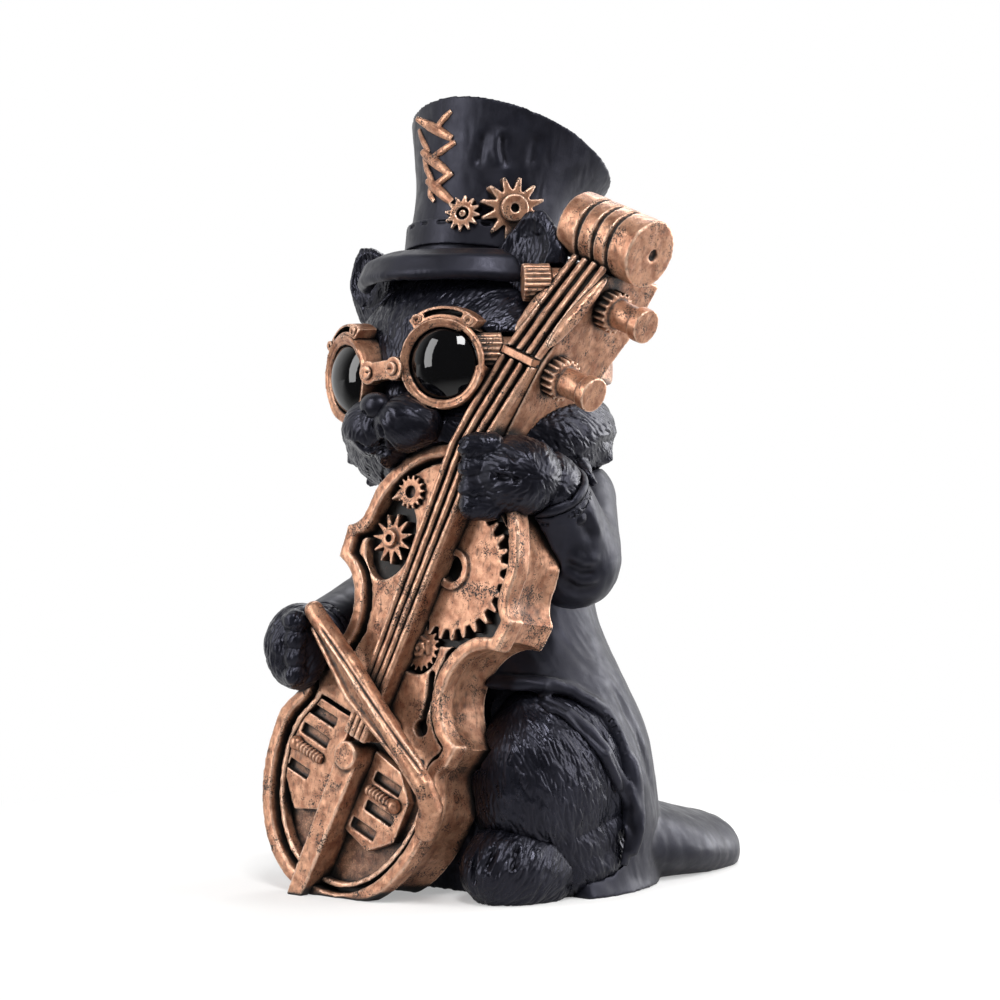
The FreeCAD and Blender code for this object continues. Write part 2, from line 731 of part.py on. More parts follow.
def lens(side):
    """A domed black lens on a short straight foot."""
    ball = (lens_radius ** 2 + lens_dome ** 2) / (2 * lens_dome)
    dome = Part.makeSphere(ball, Vector(0, 0, lens_dome - ball))
    foot_depth = rim_depth / 2
    core = Part.makeCylinder(lens_radius, foot_depth + lens_dome + overrun, Vector(0, 0, -foot_depth))
    return placed(dome.common(core), eyepiece_frame(side))


def goggle_bracket(side):
    """An arched bracket over an eyepiece, with a long slot through its face."""
    inner = rim_radius - bezel_width
    outer = rim_radius + bracket_width
    arch = turned([(inner, -bracket_depth), (outer, -bracket_depth), (outer, 0), (inner, rim_stand * 0.7)],
                  2 * bracket_spread)
    slot_low = rim_radius + bracket_width / 2 - slot_width / 2
    slot = turned([(slot_low, -bracket_depth / 2), (slot_low + slot_width, -bracket_depth / 2),
                   (slot_low + slot_width, overrun), (slot_low, overrun)], 2 * slot_spread)
    arch.rotate(Vector(0, 0, 0), Vector(0, 0, 1), 90 - bracket_spread - side * bracket_turn)
    slot.rotate(Vector(0, 0, 0), Vector(0, 0, 1), 90 - slot_spread - side * bracket_turn)
    return placed(arch.cut(slot), eyepiece_frame(side))


def bracket_rivets():
    """A round-headed rivet at each end of both brackets."""
    rivets = []
    for side in (1, -1):
        for end in (1, -1):
            bearing = radians(90 - side * bracket_turn + end * (bracket_spread + slot_spread) / 2)
            radius = rim_radius + bracket_width / 2
            head_at = Vector(radius * cos(bearing), radius * sin(bearing), -seat_depth)
            rivet = Part.makeCylinder(rivet_radius, seat_depth + rivet_height, head_at)
            rivet = rivet.cut(Part.makeCylinder(rivet_radius * 0.4, rivet_height,
                                                head_at + Vector(0, 0, seat_depth + rivet_height * 0.6)))
            rivets.append(placed(rivet, eyepiece_frame(side)))
    return Part.makeCompound(rivets)


def bridge_frame():
    """The frame of the nose bridge, halfway between the two eyepieces."""
    left = eyepiece_frame(1).Base
    right = eyepiece_frame(-1).Base
    forward = rim_radius * sin(radians(goggle_splay)) + rim_stand
    return facing((left + right) / 2 - Vector(0, forward, 0), Vector(0, -1, 0), left - right)


def goggle_bridge():
    """The plate that joins the rims, waisted between two round ends."""
    half = bridge_width / 2
    end = bridge_height / 2
    plate = Part.makeBox(bridge_width - bridge_height, bridge_height * 0.8, bridge_thickness,
                         Vector(end - half, -bridge_height * 0.4, -bridge_thickness))
    for side in (1, -1):
        disc = Part.makeCylinder(end, bridge_thickness, Vector(side * (half - end), 0, -bridge_thickness))
        plate = plate.fuse(disc)
    stem = Part.makeBox(bridge_height, bridge_height * 0.7, rim_depth,
                        Vector(-end, -bridge_height * 0.35, -rim_depth - bridge_thickness + overrun))
    return placed(plate.fuse(stem), bridge_frame())


def bridge_screws():
    """Two slotted screws through the ends of the bridge."""
    screws = []
    for side in (1, -1):
        place = Vector(side * (bridge_width - bridge_height) / 2, 0, -seat_depth)
        screw = Part.makeCylinder(screw_radius, seat_depth + screw_height, place)
        corner = Vector(-screw_radius - overrun / 2, -screw_slot / 2, seat_depth + screw_height / 2)
        slot = Part.makeBox(2 * screw_radius + overrun, screw_slot, screw_height, place + corner)
        screws.append(placed(screw.cut(slot), bridge_frame()))
    return Part.makeCompound(screws)


def skull_band(thickness):
    """A full band round the skull at the height of the strap."""
    reach = skull_width + skull_depth
    slab = Part.makeBox(2 * reach, reach + STRAP_FRONT_SHARE * skull_depth / 2, strap_height,
                        Vector(-reach, -STRAP_FRONT_SHARE * skull_depth / 2, -strap_height / 2))
    slab.Placement = FreeCAD.Placement(skull_centre() - Vector(0, 0, strap_drop),
                                       FreeCAD.Rotation(Vector(0, 1, 0), -head_roll))
    return skull(thickness).common(slab)


def goggle_strap():
    """The strap round the sides and back of the head, let into the fur by its seat."""
    return skull_band(strap_thickness).cut(skull(-seat_depth / 2))


# Cello, drawn flat: X across, Y up the body from its foot, Z out of its front

def cello_frame():
    """The leaning frame of the cello's front."""
    side = radians(cello_side_lean)
    back = radians(cello_back_lean)
    along = Vector(sin(side) * cos(back), sin(back), cos(side) * cos(back))
    across = Vector(cos(side), 0, -sin(side))
    across = (across - along * across.dot(along)).normalize()
    return facing(Vector(cello_foot_left, cello_foot_front, 0), across.cross(along), across)


def cello_point(shares, height=0.0):
    """A place on the flat front from shares of the half width and the length."""
    return Vector(shares[0] * cello_width / 2, shares[1] * cello_length, height)


def outline_runs():
    """The runs of the outline, anticlockwise: curved bouts and waists with a flat tip between them."""
    def right(shares):
        return [cello_point(share) for share in shares]

    def mirrored(points):
        return [Vector(-point.x, point.y, 0) for point in reversed(points)]
    lower = right(LOWER_BOUT_SHARES)
    waist = right(WAIST_SHARES)
    upper = right(UPPER_BOUT_SHARES)
    runs = [mirrored(lower) + [Vector(0, 0, 0)] + lower, waist, upper + mirrored(upper)[1:], mirrored(waist)]
    tips = [[run[-1], following[0]] for run, following in zip(runs, runs[1:] + runs[:1])]
    return [run for pair in zip(runs, tips) for run in pair]


def inset_runs(runs, distance):
    """The runs moved in from the outline, with each corner kept as one point of both its runs."""
    def inward(start, end):
        way = (end - start).normalize()
        return Vector(-way.y, way.x, 0)
    moved = []
    for run in runs:
        points = []
        for index, point in enumerate(run):
            before = run[max(index - 1, 0)]
            after = run[min(index + 1, len(run) - 1)]
            points.append(point + inward(before, after) * distance)
        moved.append(points)
    for index, run in enumerate(runs):
        following = (index + 1) % len(runs)
        first = inward(run[-2], run[-1])
        second = inward(runs[following][0], runs[following][1])
        corner = run[-1] + (first + second) * (distance / (1 + first.dot(second)))
        moved[index][-1] = corner
        moved[following][0] = corner
    return moved


def outline_face(inset=0.0):
    """The cello's flat outline as a face, moved in by the inset."""
    edges = []
    for points in inset_runs(outline_runs(), inset):
        curve = Part.BSplineCurve()
        curve.interpolate(Points=points)
        edges.append(curve.toShape())
    return Part.Face(Part.Wire(edges))


def plate(inset, low, high):
    """A plate on the cello's outline between two heights."""
    face = outline_face(inset)
    face.translate(Vector(0, 0, low))
    return face.extrude(Vector(0, 0, high - low))


def on_cello(shape):
    """The shape, moved from the flat drawing to the standing cello and cut flat at the floor."""
    return above_floor(placed(shape, cello_frame()))


def cello_body():
    """The body: its back and ribs, a little inside the rim of the front."""
    return on_cello(plate(rib_inset, -cello_depth, -panel_depth))


def cello_rim():
    """The raised border round the front."""
    hollow = plate(rim_width, -panel_depth - overrun, rim_height + overrun)
    return on_cello(plate(0, -panel_depth, rim_height).cut(hollow))


def slot_path(places, width, height):
    """A round-ended slot along a line of places, right through the panel."""
    pieces = []
    for start, end in zip(places, places[1:]):
        way = end - start
        side = Vector(-way.y, way.x, 0).normalize() * (width / 2)
        pieces.append(prism([start - side, end - side, end + side, start + side], height))
    pieces.extend(Part.makeCylinder(width / 2, height, place) for place in places)
    return fuse(pieces)


def panel_windows():
    """Everything that is open in the front: gear wells, sound holes and the field of the lower bout."""
    low = -panel_depth - overrun
    depth = panel_depth + 2 * overrun
    gear_at = cello_point(MAIN_GEAR_SHARES, low)
    well = Part.makeCylinder(main_gear_recess, depth, gear_at)
    well = well.cut(Part.makeBox(cello_width, cello_length, depth, Vector(-cello_width, gear_at.y / 2, low)))
    oval = Part.makeCylinder(1, depth)
    matrix = FreeCAD.Matrix()
    matrix.scale(Vector(petal_window_width / 2, petal_window_length / 2, 1))
    oval = oval.transformGeometry(matrix)
    oval.translate(cello_point(PETAL_GEAR_SHARES, low))
    windows = [well, oval, Part.makeCylinder(lower_gear_recess, depth, cello_point(LOWER_GEAR_SHARES, low))]
    for shares in (SOUND_HOLE_SHARES, LEFT_HOLE_SHARES):
        places = [cello_point(share, low) for share in shares]
        windows.append(slot_path(places, hole_slot_width, depth))
        windows.append(Part.makeCylinder(hole_curl_radius, depth, places[0]))
    corner_places = [cello_point(share, low) for share in CORNER_SLOT_SHARES]
    windows.append(slot_path(corner_places, corner_slot_width, depth))
    field = outline_face(window_inset)
    field.translate(Vector(0, 0, low))
    keep = Part.makeBox(cello_width, WINDOW_TOP_SHARE * cello_length, depth,
                        Vector(-cello_width / 2, 0, low))
    windows.append(field.extrude(Vector(0, 0, depth)).common(keep))
    return windows


def cello_panel():
    """The flat front inside the rim, with its windows."""
    panel = plate(rim_width + groove_width, -panel_depth, 0)
    for window in panel_windows():
        panel = panel.cut(window)
    return on_cello(panel)


def gear_on_front(shape, shares):
    """A gear that lies on the body at the bottom of the panel's wells."""
    shape.translate(cello_point(shares, -panel_depth))
    return on_cello(shape)


def main_gear():
    """The large gear, with a raised ring round its bore."""
    wheel = gear(main_gear_tip, main_gear_root, main_gear_teeth, main_gear_thickness, bore=main_gear_bore)
    boss = Part.makeCylinder(main_gear_boss, main_gear_thickness + main_gear_boss_height)
    boss = boss.cut(Part.makeCylinder(main_gear_bore, main_gear_thickness + main_gear_boss_height + overrun))
    return gear_on_front(wheel.fuse(boss), MAIN_GEAR_SHARES)


def petal_gear():
    """A gear of long pointed teeth with a bored boss."""
    wheel = gear(petal_gear_tip, petal_gear_root, petal_gear_teeth, petal_gear_thickness, *PETAL_TOOTH_SHARES)
    boss = Part.makeCylinder(petal_boss_radius, petal_gear_thickness + petal_boss_height)
    bore = Part.makeCylinder(petal_boss_radius * 0.45, petal_boss_height + overrun,
                             Vector(0, 0, petal_gear_thickness))
    return gear_on_front(wheel.fuse(boss).cut(bore), PETAL_GEAR_SHARES)


def small_gear():
    """A small gear that lies on the panel, with an open bore."""
    wheel = gear(small_gear_tip, small_gear_root, small_gear_teeth, small_gear_thickness,
                 bore=small_gear_bore)
    wheel.translate(cello_point(SMALL_GEAR_SHARES))
    return on_cello(wheel)


def lower_gear():
    """A fine-toothed gear that carries a coiled scroll."""
    wheel = gear(lower_gear_tip, lower_gear_root, lower_gear_teeth, lower_gear_thickness)
    points = []
    for index in range(SPIRAL_STEPS):
        share = index / (SPIRAL_STEPS - 1)
        angle = 2 * pi * SPIRAL_TURNS * share
        radius = spiral_radius * (1 - 0.85 * share)
        height = lower_gear_thickness + spiral_wire * share
        points.append(Vector(radius * cos(angle), radius * sin(angle), height))
    coil = limb(points, [spiral_wire] * SPIRAL_STEPS, BEND_SHARE)
    return gear_on_front(wheel.fuse(coil), LOWER_GEAR_SHARES)


def grille(outline_shares, slot_shares):
    """A flat plate in the lower bout, pierced by slots that slant with the cello."""
    plate_low = -panel_depth
    body = prism([cello_point(share, plate_low) for share in outline_shares], grille_thickness)
    for across, up, length_share in slot_shares:
        half = length_share * cello_width / 2
        middle = cello_point((across, up), plate_low + grille_thickness - grille_depth)
        slot = Part.makeBox(2 * half, grille_slot, grille_depth + overrun, Vector(-half, -grille_slot / 2, 0))
        slot.translate(middle)
        body = body.cut(slot)
    return on_cello(body)


def threaded_rods():
    """Two short threaded rods with a ball end, one on each grille."""
    rods = []
    for side, shares in ((-1, LEFT_ROD_SHARES), (1, RIGHT_ROD_SHARES)):
        start = cello_point(shares, grille_thickness - panel_depth + rod_radius * 0.6)
        pieces = [Part.makeCylinder(rod_radius, rod_length, start, Vector(side, 0, 0))]
        for index in range(int(rod_length / rod_pitch)):
            ridge_at = start + Vector(side * rod_pitch * (index + 0.5), 0, 0)
            ridge = Part.makeCylinder(rod_radius + rod_thread, rod_pitch / 2, ridge_at, Vector(side, 0, 0))
            pieces.append(ridge)
        pieces.append(Part.makeSphere(rod_ball, start + Vector(side * rod_length, 0, 0)))
        rods.append(on_cello(fuse(pieces)))
    return Part.makeCompound(rods)


def tailpiece():
    """A tapered bar from the foot of the front up to the strings, with a rounded head."""
    half_foot = tailpiece_foot_width / 2
    half_head = tailpiece_head_width / 2
    low = -panel_depth
    bar = prism([Vector(-half_foot, -floor_dip, low), Vector(half_foot, -floor_dip, low),
                 Vector(half_head, tailpiece_length, low), Vector(-half_head, tailpiece_length, low)],
                tailpiece_height)
    cap = Part.makeCylinder(half_head, tailpiece_height + seat_depth, Vector(0, tailpiece_length, low))
    return on_cello(bar.fuse(cap))


def bridge():
    """The bridge: a low foot across the panel under the strings, with a rounded back."""
    middle = cello_point((0, BRIDGE_PLACE_SHARE))
    body = blob(middle, bridge_spread / 2, bridge_base / 2, string_height())
    keep = Part.makeBox(2 * bridge_spread, 2 * bridge_spread, bridge_spread,
                        middle - Vector(bridge_spread, bridge_spread, 0))
    return on_cello(body.common(keep))


# Strings, neck and scroll

def string_height():
    """How far the middle of the strings stands off the panel over the body."""
    return fingerboard_height + string_radius * STRING_BED_SHARE


def neck_point(shares, across=0.0):
    """A place in the neck from shares of its length and of its drop."""
    return Vector(across, cello_length + shares[0] * neck_length, -shares[1] * neck_drop)


def string_spread(height):
    """The width of the band of strings at a height up the cello."""
    foot_at = fingerboard_start_share * cello_length
    nut_at = neck_point(NUT_SHARES).y
    share = min((height - foot_at) / (nut_at - foot_at), 1.0)
    return string_spread_foot + (string_spread_nut - string_spread_foot) * share


def string_path(index):
    """The points of one string, from the tailpiece over the fingerboard to the scroll."""
    start = Vector(0, fingerboard_start_share * cello_length, string_height())
    rise = [neck_point(share) for share in STRING_RISE_SHARES]
    points = []
    for point in [start] + rise:
        across = string_spread(point.y) * (index / (string_count - 1) - 0.5)
        points.append(Vector(across, point.y, point.z))
    return points


def string(index):
    """One string as a thick cast ridge."""
    return on_cello(wire(string_path(index), string_radius))


def fingerboard():
    """The long bar under the strings, tapered in plan and bent back with the neck."""
    low = -panel_depth / 2
    front = [Vector(0, fingerboard_start_share * cello_length, fingerboard_height)]
    front += [neck_point(share) - Vector(0, 0, string_radius) for share in STRING_RISE_SHARES[:3]]
    back = [neck_point(share) - Vector(0, 0, seat_depth) for share in reversed(NECK_FRONT_SHARES[:3])]
    profile = front + back + [Vector(0, cello_length * 0.9, low), Vector(0, front[0].y, low)]
    half = string_spread_nut / 2 + string_radius * STRING_BED_SHARE
    side = Part.Face(Part.makePolygon(profile + [profile[0]]))
    side.translate(Vector(-half, 0, 0))
    bar = side.extrude(Vector(2 * half, 0, 0))
    top = front[-1].y + overrun
    narrow = string_spread_foot / 2 + string_radius * STRING_BED_SHARE
    plan = prism([Vector(-narrow, front[0].y, -neck_drop), Vector(narrow, front[0].y, -neck_drop),
                  Vector(half, top, -neck_drop), Vector(-half, top, -neck_drop)], 2 * neck_drop)
    return on_cello(bar.common(plan))


def nut():
    """The nut: a small bar across the fingerboard, where the strings turn back to the pegs."""
    place = neck_point(NUT_SHARES)
    width = string_spread_nut + 2 * string_radius
    bar = Part.makeBox(width, nut_thickness, nut_height + 3 * string_radius,
                       Vector(-width / 2, -nut_thickness / 2, -2 * string_radius))
    bar.translate(place)
    return on_cello(bar)


def neck_pegbox():
    """The neck and pegbox: a flat-sided wall that bends back, with a leaf along its near edge."""
    profile = [neck_point(share) for share in NECK_FRONT_SHARES + NECK_BACK_SHARES]
    wall = Part.Face(Part.makePolygon(profile + [profile[0]]))
    wall.translate(Vector(-neck_width / 2, 0, 0))
    body = wall.extrude(Vector(neck_width, 0, 0))
    for side in (1, -1):
        leaf = blob(Vector(0, 0, 0), leaf_height, leaf_width / 2, leaf_length / 2)
        slope = neck_point(NECK_FRONT_SHARES[-1]) - neck_point(NECK_FRONT_SHARES[-2])
        turn = FreeCAD.Rotation(Vector(0, 0, 1), slope)
        leaf_at = neck_point(LEAF_SHARES, side * (neck_width / 2 + leaf_width * LEAF_PROUD_SHARE))
        leaf.Placement = FreeCAD.Placement(leaf_at, turn)
        body = body.fuse(leaf)
    return on_cello(body)


def scroll():
    """The scroll: a short drum across the end of the neck, grooved, with an eye in each end."""
    centre = neck_point((1.0, 1.0))
    half = scroll_length / 2
    across = Vector(1, 0, 0)
    drum = Part.makeCylinder(scroll_radius, scroll_length, centre - across * half, across)
    for share in SCROLL_GROOVE_SHARES:
        start = centre + across * (share * scroll_length - scroll_groove_width / 2)
        ring = Part.makeCylinder(scroll_radius + overrun, scroll_groove_width, start, across)
        core = Part.makeCylinder(scroll_radius - scroll_groove, scroll_groove_width, start, across)
        drum = drum.cut(ring.cut(core))
    for side in (1, -1):
        eye = centre + across * (side * half) + Vector(0, 0, -scroll_eye_offset)
        start = eye - across * scroll_groove
        drum = drum.cut(Part.makeCylinder(scroll_eye, 2 * scroll_groove, start, across))
    return on_cello(drum)


def peg_frame(side, along_share, drop_share):
    """The frame of a peg on a side wall of the neck: a far peg leans to the front."""
    start = neck_point((along_share, drop_share), side * neck_width / 2)
    way = Vector(1, 0, 0) if side > 0 else Vector(*FAR_PEG_WAY)
    return facing(start, way, Vector(0, 1, 0))


def tuning_peg(side, along_share, drop_share):
    """A peg: toothed collar, shaft and end disc on the near side, a knurled knob on the far side."""
    frame = peg_frame(side, along_share, drop_share)
    if side > 0:
        reach = peg_reach - neck_width / 2
        peg = gear(collar_radius, collar_root, collar_teeth, collar_length)
        peg = peg.fuse(Part.makeCylinder(peg_radius, reach))
        disc_at = Vector(0, 0, reach - peg_disc_length)
        peg = peg.fuse(Part.makeCylinder(peg_disc_radius, peg_disc_length, disc_at))
    else:
        peg = Part.makeCylinder(peg_radius, peg_sink + knob_reach, Vector(0, 0, -peg_sink))
        knob = gear(knob_radius, knob_root, knob_teeth, knob_length)
        knob.translate(Vector(0, 0, knob_reach - knob_length))
        peg = peg.fuse(knob)
    return on_cello(placed(peg, frame))


# Bow, paws and arms

def bow_points(shares):
    """Places of the bow, from shares of the cello and of the bow's lift off the panel."""
    return [cello_point(share[:2], share[2] * bow_lift) for share in shares]


def bow_stick():
    """The stick, bent down at its end onto the rim of the cello."""
    points = bow_points(BOW_STICK_SHARES)
    radii = [bow_radius] * (len(points) - 2) + [bow_end_radius, bow_end_radius]
    return on_cello(limb(points, radii))


def bow_hair():
    """The hair: a thin ridge joined to the stick by a web."""
    hair = bow_points(BOW_HAIR_SHARES)
    stick = bow_points(BOW_STICK_SHARES)
    pieces = [limb(hair, [hair_radius] * len(hair))]
    for index in range(len(hair) - 1):
        corners = [hair[index], hair[index + 1], stick[index + 1], stick[index]]
        low = Vector(0, 0, -web_thickness)
        for trio in ((0, 1, 2), (0, 2, 3)):
            face = Part.Face(Part.makePolygon([corners[trio[0]], corners[trio[1]], corners[trio[2]],
                                               corners[trio[0]]]))
            pieces.append(face.extrude(low))
    return on_cello(fuse(pieces))


def paw_centre(shares):
    """The middle of a paw, from shares of the cello's half width, length and depth."""
    return cello_frame().multVec(cello_point(shares[:2], shares[2] * cello_depth))


def paw_left():
    """The left paw, closed round the neck with its fingers towards the strings."""
    centre = paw_centre(PAW_LEFT_SHARES)
    pieces = [blob(centre, paw_length / 2, paw_width / 2, paw_height / 2)]
    pieces.append(Part.makeSphere(wrist_radius * 0.9, arm_points(1)[2]))
    for index in range(FINGER_COUNT):
        height = (index - (FINGER_COUNT - 1) / 2) * paw_height / (FINGER_COUNT + 0.4)
        root = centre + Vector(-paw_length * 0.12, -paw_width * 0.30, height)
        tip = root + Vector(-finger_length * 0.28, -finger_length * 0.14, 0)
        pieces.append(limb([root, tip], [finger_radius] * 2))
    return fuse(pieces)


def paw_right():
    """The right paw at the edge of the cello, closed on the end of the bow."""
    centre = paw_centre(PAW_RIGHT_SHARES)
    pieces = [blob(centre, paw_width * 0.42, paw_length * 0.42, paw_height * 0.55)]
    pieces.append(Part.makeSphere(forearm_radius * 0.9, arm_points(-1)[2]))
    for index in range(FINGER_COUNT):
        height = (index - (FINGER_COUNT - 1) / 2) * paw_height / (FINGER_COUNT + 0.6)
        root = centre + Vector(paw_width * 0.05, -paw_length * 0.16, height)
        tip = root + Vector(finger_length * 0.30, -finger_length * 0.22, 0)
        pieces.append(limb([root, tip], [finger_radius * 0.88, finger_radius * 0.80]))
    return fuse(pieces)


def torso_point(shares):
    """A place from shares of the torso's half width, half depth and height."""
    return Vector(shares[0] * torso_width / 2, shares[1] * torso_depth / 2, shares[2] * torso_height)


def arm_points(side):
    """Shoulder, elbow and wrist of one arm."""
    shoulder = torso_point((side * SHOULDER_PLACE_SHARES[0],) + SHOULDER_PLACE_SHARES[1:])
    if side > 0:
        elbow = torso_point(ELBOW_LEFT_SHARES)
        wrist = paw_centre(PAW_LEFT_SHARES) + Vector(paw_length * 0.12, paw_width * 0.40, -paw_height * 0.10)
    else:
        elbow = torso_point(ELBOW_RIGHT_SHARES)
        wrist = paw_centre(PAW_RIGHT_SHARES) + Vector(-paw_width * 0.30, paw_length * 0.50, paw_height * 0.04)
    return shoulder, elbow, wrist


def sleeve(side):
    """A sleeve: shoulder, bent elbow and forearm, ending flat at the wrist."""
    points = arm_points(side)
    arm = limb(points[:2], (shoulder_radius, elbow_radius))
    way = points[2] - points[1]
    radius = wrist_radius if side > 0 else forearm_radius
    return arm.fuse(Part.makeCone(elbow_radius, radius, way.Length, points[1], way))


def cuff(side):
    """Rolled folds of cloth round the wrist."""
    points = arm_points(side)
    way = (points[2] - points[1]).normalize()
    outer = cuff_radius if side > 0 else cuff_radius * forearm_radius / wrist_radius
    core = Part.makeCylinder(outer - cuff_roll * 0.6, 2 * cuff_roll * cuff_folds, points[2], way * -1)
    pieces = [core]
    for index in range(cuff_folds):
        place = points[2] - way * (cuff_roll * (2 * index + 1))
        pieces.append(Part.makeTorus(outer - cuff_roll * (0.8 + 0.15 * index), cuff_roll, place, way))
    return fuse(pieces)


# Assembly

def hat_gear(teeth, tip, root, thickness, bearing, height, bore=0.0):
    """A gear on the side of the hat."""
    wheel = gear(tip, root, teeth, thickness + seat_depth, *HAT_TOOTH_SHARES, bore)
    return seated_on_crown(wheel, bearing, height, -seat_depth)


def hat_gear_hub():
    """The ringed hub of the large gear on the hat."""
    hub = Part.makeCylinder(hub_radius, hub_height)
    hub = hub.cut(Part.makeCylinder(hub_bore, hub_height + overrun))
    return seated_on_crown(hub, hat_gear_bearing, hat_gear_height, hat_gear_thickness)


def hat_gear_pin():
    """The pin in the middle of the small gear on the hat."""
    pin = Part.makeCylinder(pin_radius, small_hat_gear_thickness + seat_depth)
    return seated_on_crown(pin, small_hat_gear_bearing, small_hat_gear_height, -seat_depth)


def both(name):
    """The names of a left and right pair."""
    return [f"{name}_left", f"{name}_right"]


def eyepiece_pockets():
    """The plain round wells that the two eyepieces fill."""
    depth = rim_depth + rim_stand + lens_dome + overrun
    return [placed(Part.makeCylinder(rim_radius, depth, Vector(0, 0, -rim_depth)), eyepiece_frame(side))
            for side in (1, -1)]


def knob_pockets():
    """Plain drums that hold the two far tuning pegs, with clear air before them."""
    pockets = []
    for side, along_share, drop_share in PEG_SHARES:
        if side < 0:
            for clearance in KNOB_CLEARANCES:
                drum = placed(Part.makeCylinder(knob_radius, peg_sink + knob_reach, Vector(0, 0, -peg_sink)),
                              peg_frame(side, along_share, drop_share))
                drum.translate(Vector(0, 0, clearance))
                pockets.append(on_cello(drum))
    return pockets


def neck_pocket():
    """The wall of the neck with the board and strings before it, without ornament."""
    lift = Vector(0, 0, seat_depth + string_radius)
    start = Vector(0, fingerboard_start_share * cello_length, 0)
    front = [start + Vector(0, 0, string_height()) + lift]
    front += [neck_point(share) + lift for share in STRING_RISE_SHARES]
    profile = front + [neck_point(share) for share in NECK_BACK_SHARES] + [start]
    wall = Part.Face(Part.makePolygon(profile + [profile[0]]))
    wall.translate(Vector(-neck_width / 2, 0, 0))
    return [on_cello(wall.extrude(Vector(neck_width, 0, 0)))]


def front_pocket():
    """The space that the cello's front fills, with clear air before it."""
    return on_cello(plate(0, -panel_depth, cello_depth / 2))


def rim_pocket():
    """The space that the front and its rim fill."""
    return on_cello(plate(0, -panel_depth, rim_height))


def hat_pieces():
    """The hat and what is fixed to its crown."""
    large = hat_gear(hat_gear_teeth, hat_gear_tip, hat_gear_root, hat_gear_thickness,
                     hat_gear_bearing, hat_gear_height)
    small = hat_gear(hat_gear_teeth, small_hat_gear_tip, small_hat_gear_root, small_hat_gear_thickness,
                     small_hat_gear_bearing, small_hat_gear_height, small_hat_gear_bore)
    return [
        ("hat_crown", hat_crown(), []),
        ("hat_band", hat_band(), ["hat_crown"]),
        ("hat_gear_large", large, ["hat_crown", "hat_band"]),
        ("hat_gear_hub", hat_gear_hub(), []),
        ("hat_gear_small", small, ["hat_crown", "hat_band", "hat_gear_large"]),
        ("hat_gear_pin", hat_gear_pin(), ["hat_crown", "hat_band"]),
        ("hat_lacing", hat_lacing(), ["hat_crown", "hat_band", "hat_gear_small"]),
    ]


def cello_pieces():
    """The cello with its bow."""
    pieces = [
        ("cello_body", cello_body(), []),
        ("cello_rim", cello_rim(), []),
        ("fingerboard", fingerboard(), ["cello_rim"]),
        ("tailpiece", tailpiece(), ["cello_rim"]),
        ("neck_pegbox", neck_pegbox(), ["cello_body", "cello_rim", "fingerboard"]),
        ("scroll", scroll(), ["neck_pegbox"]),
        ("cello_panel", cello_panel(), ["fingerboard", "tailpiece"]),
        ("main_gear", main_gear(), ["fingerboard", "cello_panel"]),
        ("petal_gear", petal_gear(), ["fingerboard", "cello_panel"]),
        ("small_gear", small_gear(), ["fingerboard"]),
        ("lower_gear", lower_gear(), ["fingerboard", "main_gear", "cello_panel"]),
        ("grille_left", grille(LEFT_GRILLE_SHARES, LEFT_SLOT_SHARES), ["cello_panel", "tailpiece"]),
        ("grille_right", grille(RIGHT_GRILLE_SHARES, RIGHT_SLOT_SHARES), ["cello_panel", "tailpiece"]),
        ("threaded_rods", threaded_rods(), both("grille") + ["tailpiece"]),
        ("bow_stick", bow_stick(), ["cello_rim", "cello_body"]),
        ("nut", nut(), ["fingerboard", "neck_pegbox"]),
    ]
    names = [f"string_{index + 1}" for index in range(string_count)]
    for index, name in enumerate(names):
        beds = ["fingerboard", "neck_pegbox", "scroll", "nut", "tailpiece", "bow_stick"]
        pieces.append((name, string(index), beds))
    pieces.append(("bow_hair", bow_hair(), ["bow_stick", "cello_rim"] + names))
    pieces.append(("bridge", bridge(), ["fingerboard"] + names))
    for index, (side, along_share, drop_share) in enumerate(PEG_SHARES):
        beds = ["neck_pegbox"] if side > 0 else ["neck_pegbox", "fingerboard", "nut", "scroll"] + names
        pieces.append((f"tuning_peg_{index + 1}", tuning_peg(side, along_share, drop_share), beds))
    return pieces


def goggle_pieces():
    """The goggles and their strap."""
    pegs = knob_pockets()
    neck = neck_pocket()
    pieces = []
    for side, name in ((1, "left"), (-1, "right")):
        pieces.append((f"lens_{name}", lens(side), pegs))
        pieces.append((f"goggle_rim_{name}", goggle_rim(side), [f"lens_{name}"] + neck + pegs))
    pieces.append(("goggle_bridge", goggle_bridge(), both("goggle_rim")))
    pieces.append(("bridge_screws", bridge_screws(), both("goggle_rim") + ["goggle_bridge"]))
    for side, name in ((1, "left"), (-1, "right")):
        pieces.append((f"goggle_bracket_{name}", goggle_bracket(side), [f"goggle_rim_{name}"] + pegs))
    pieces.append(("bracket_rivets", bracket_rivets(), both("goggle_rim") + both("goggle_bracket") + pegs))
    pieces.append(("goggle_strap", goggle_strap(), eyepiece_pockets() + neck + pegs))
    return pieces


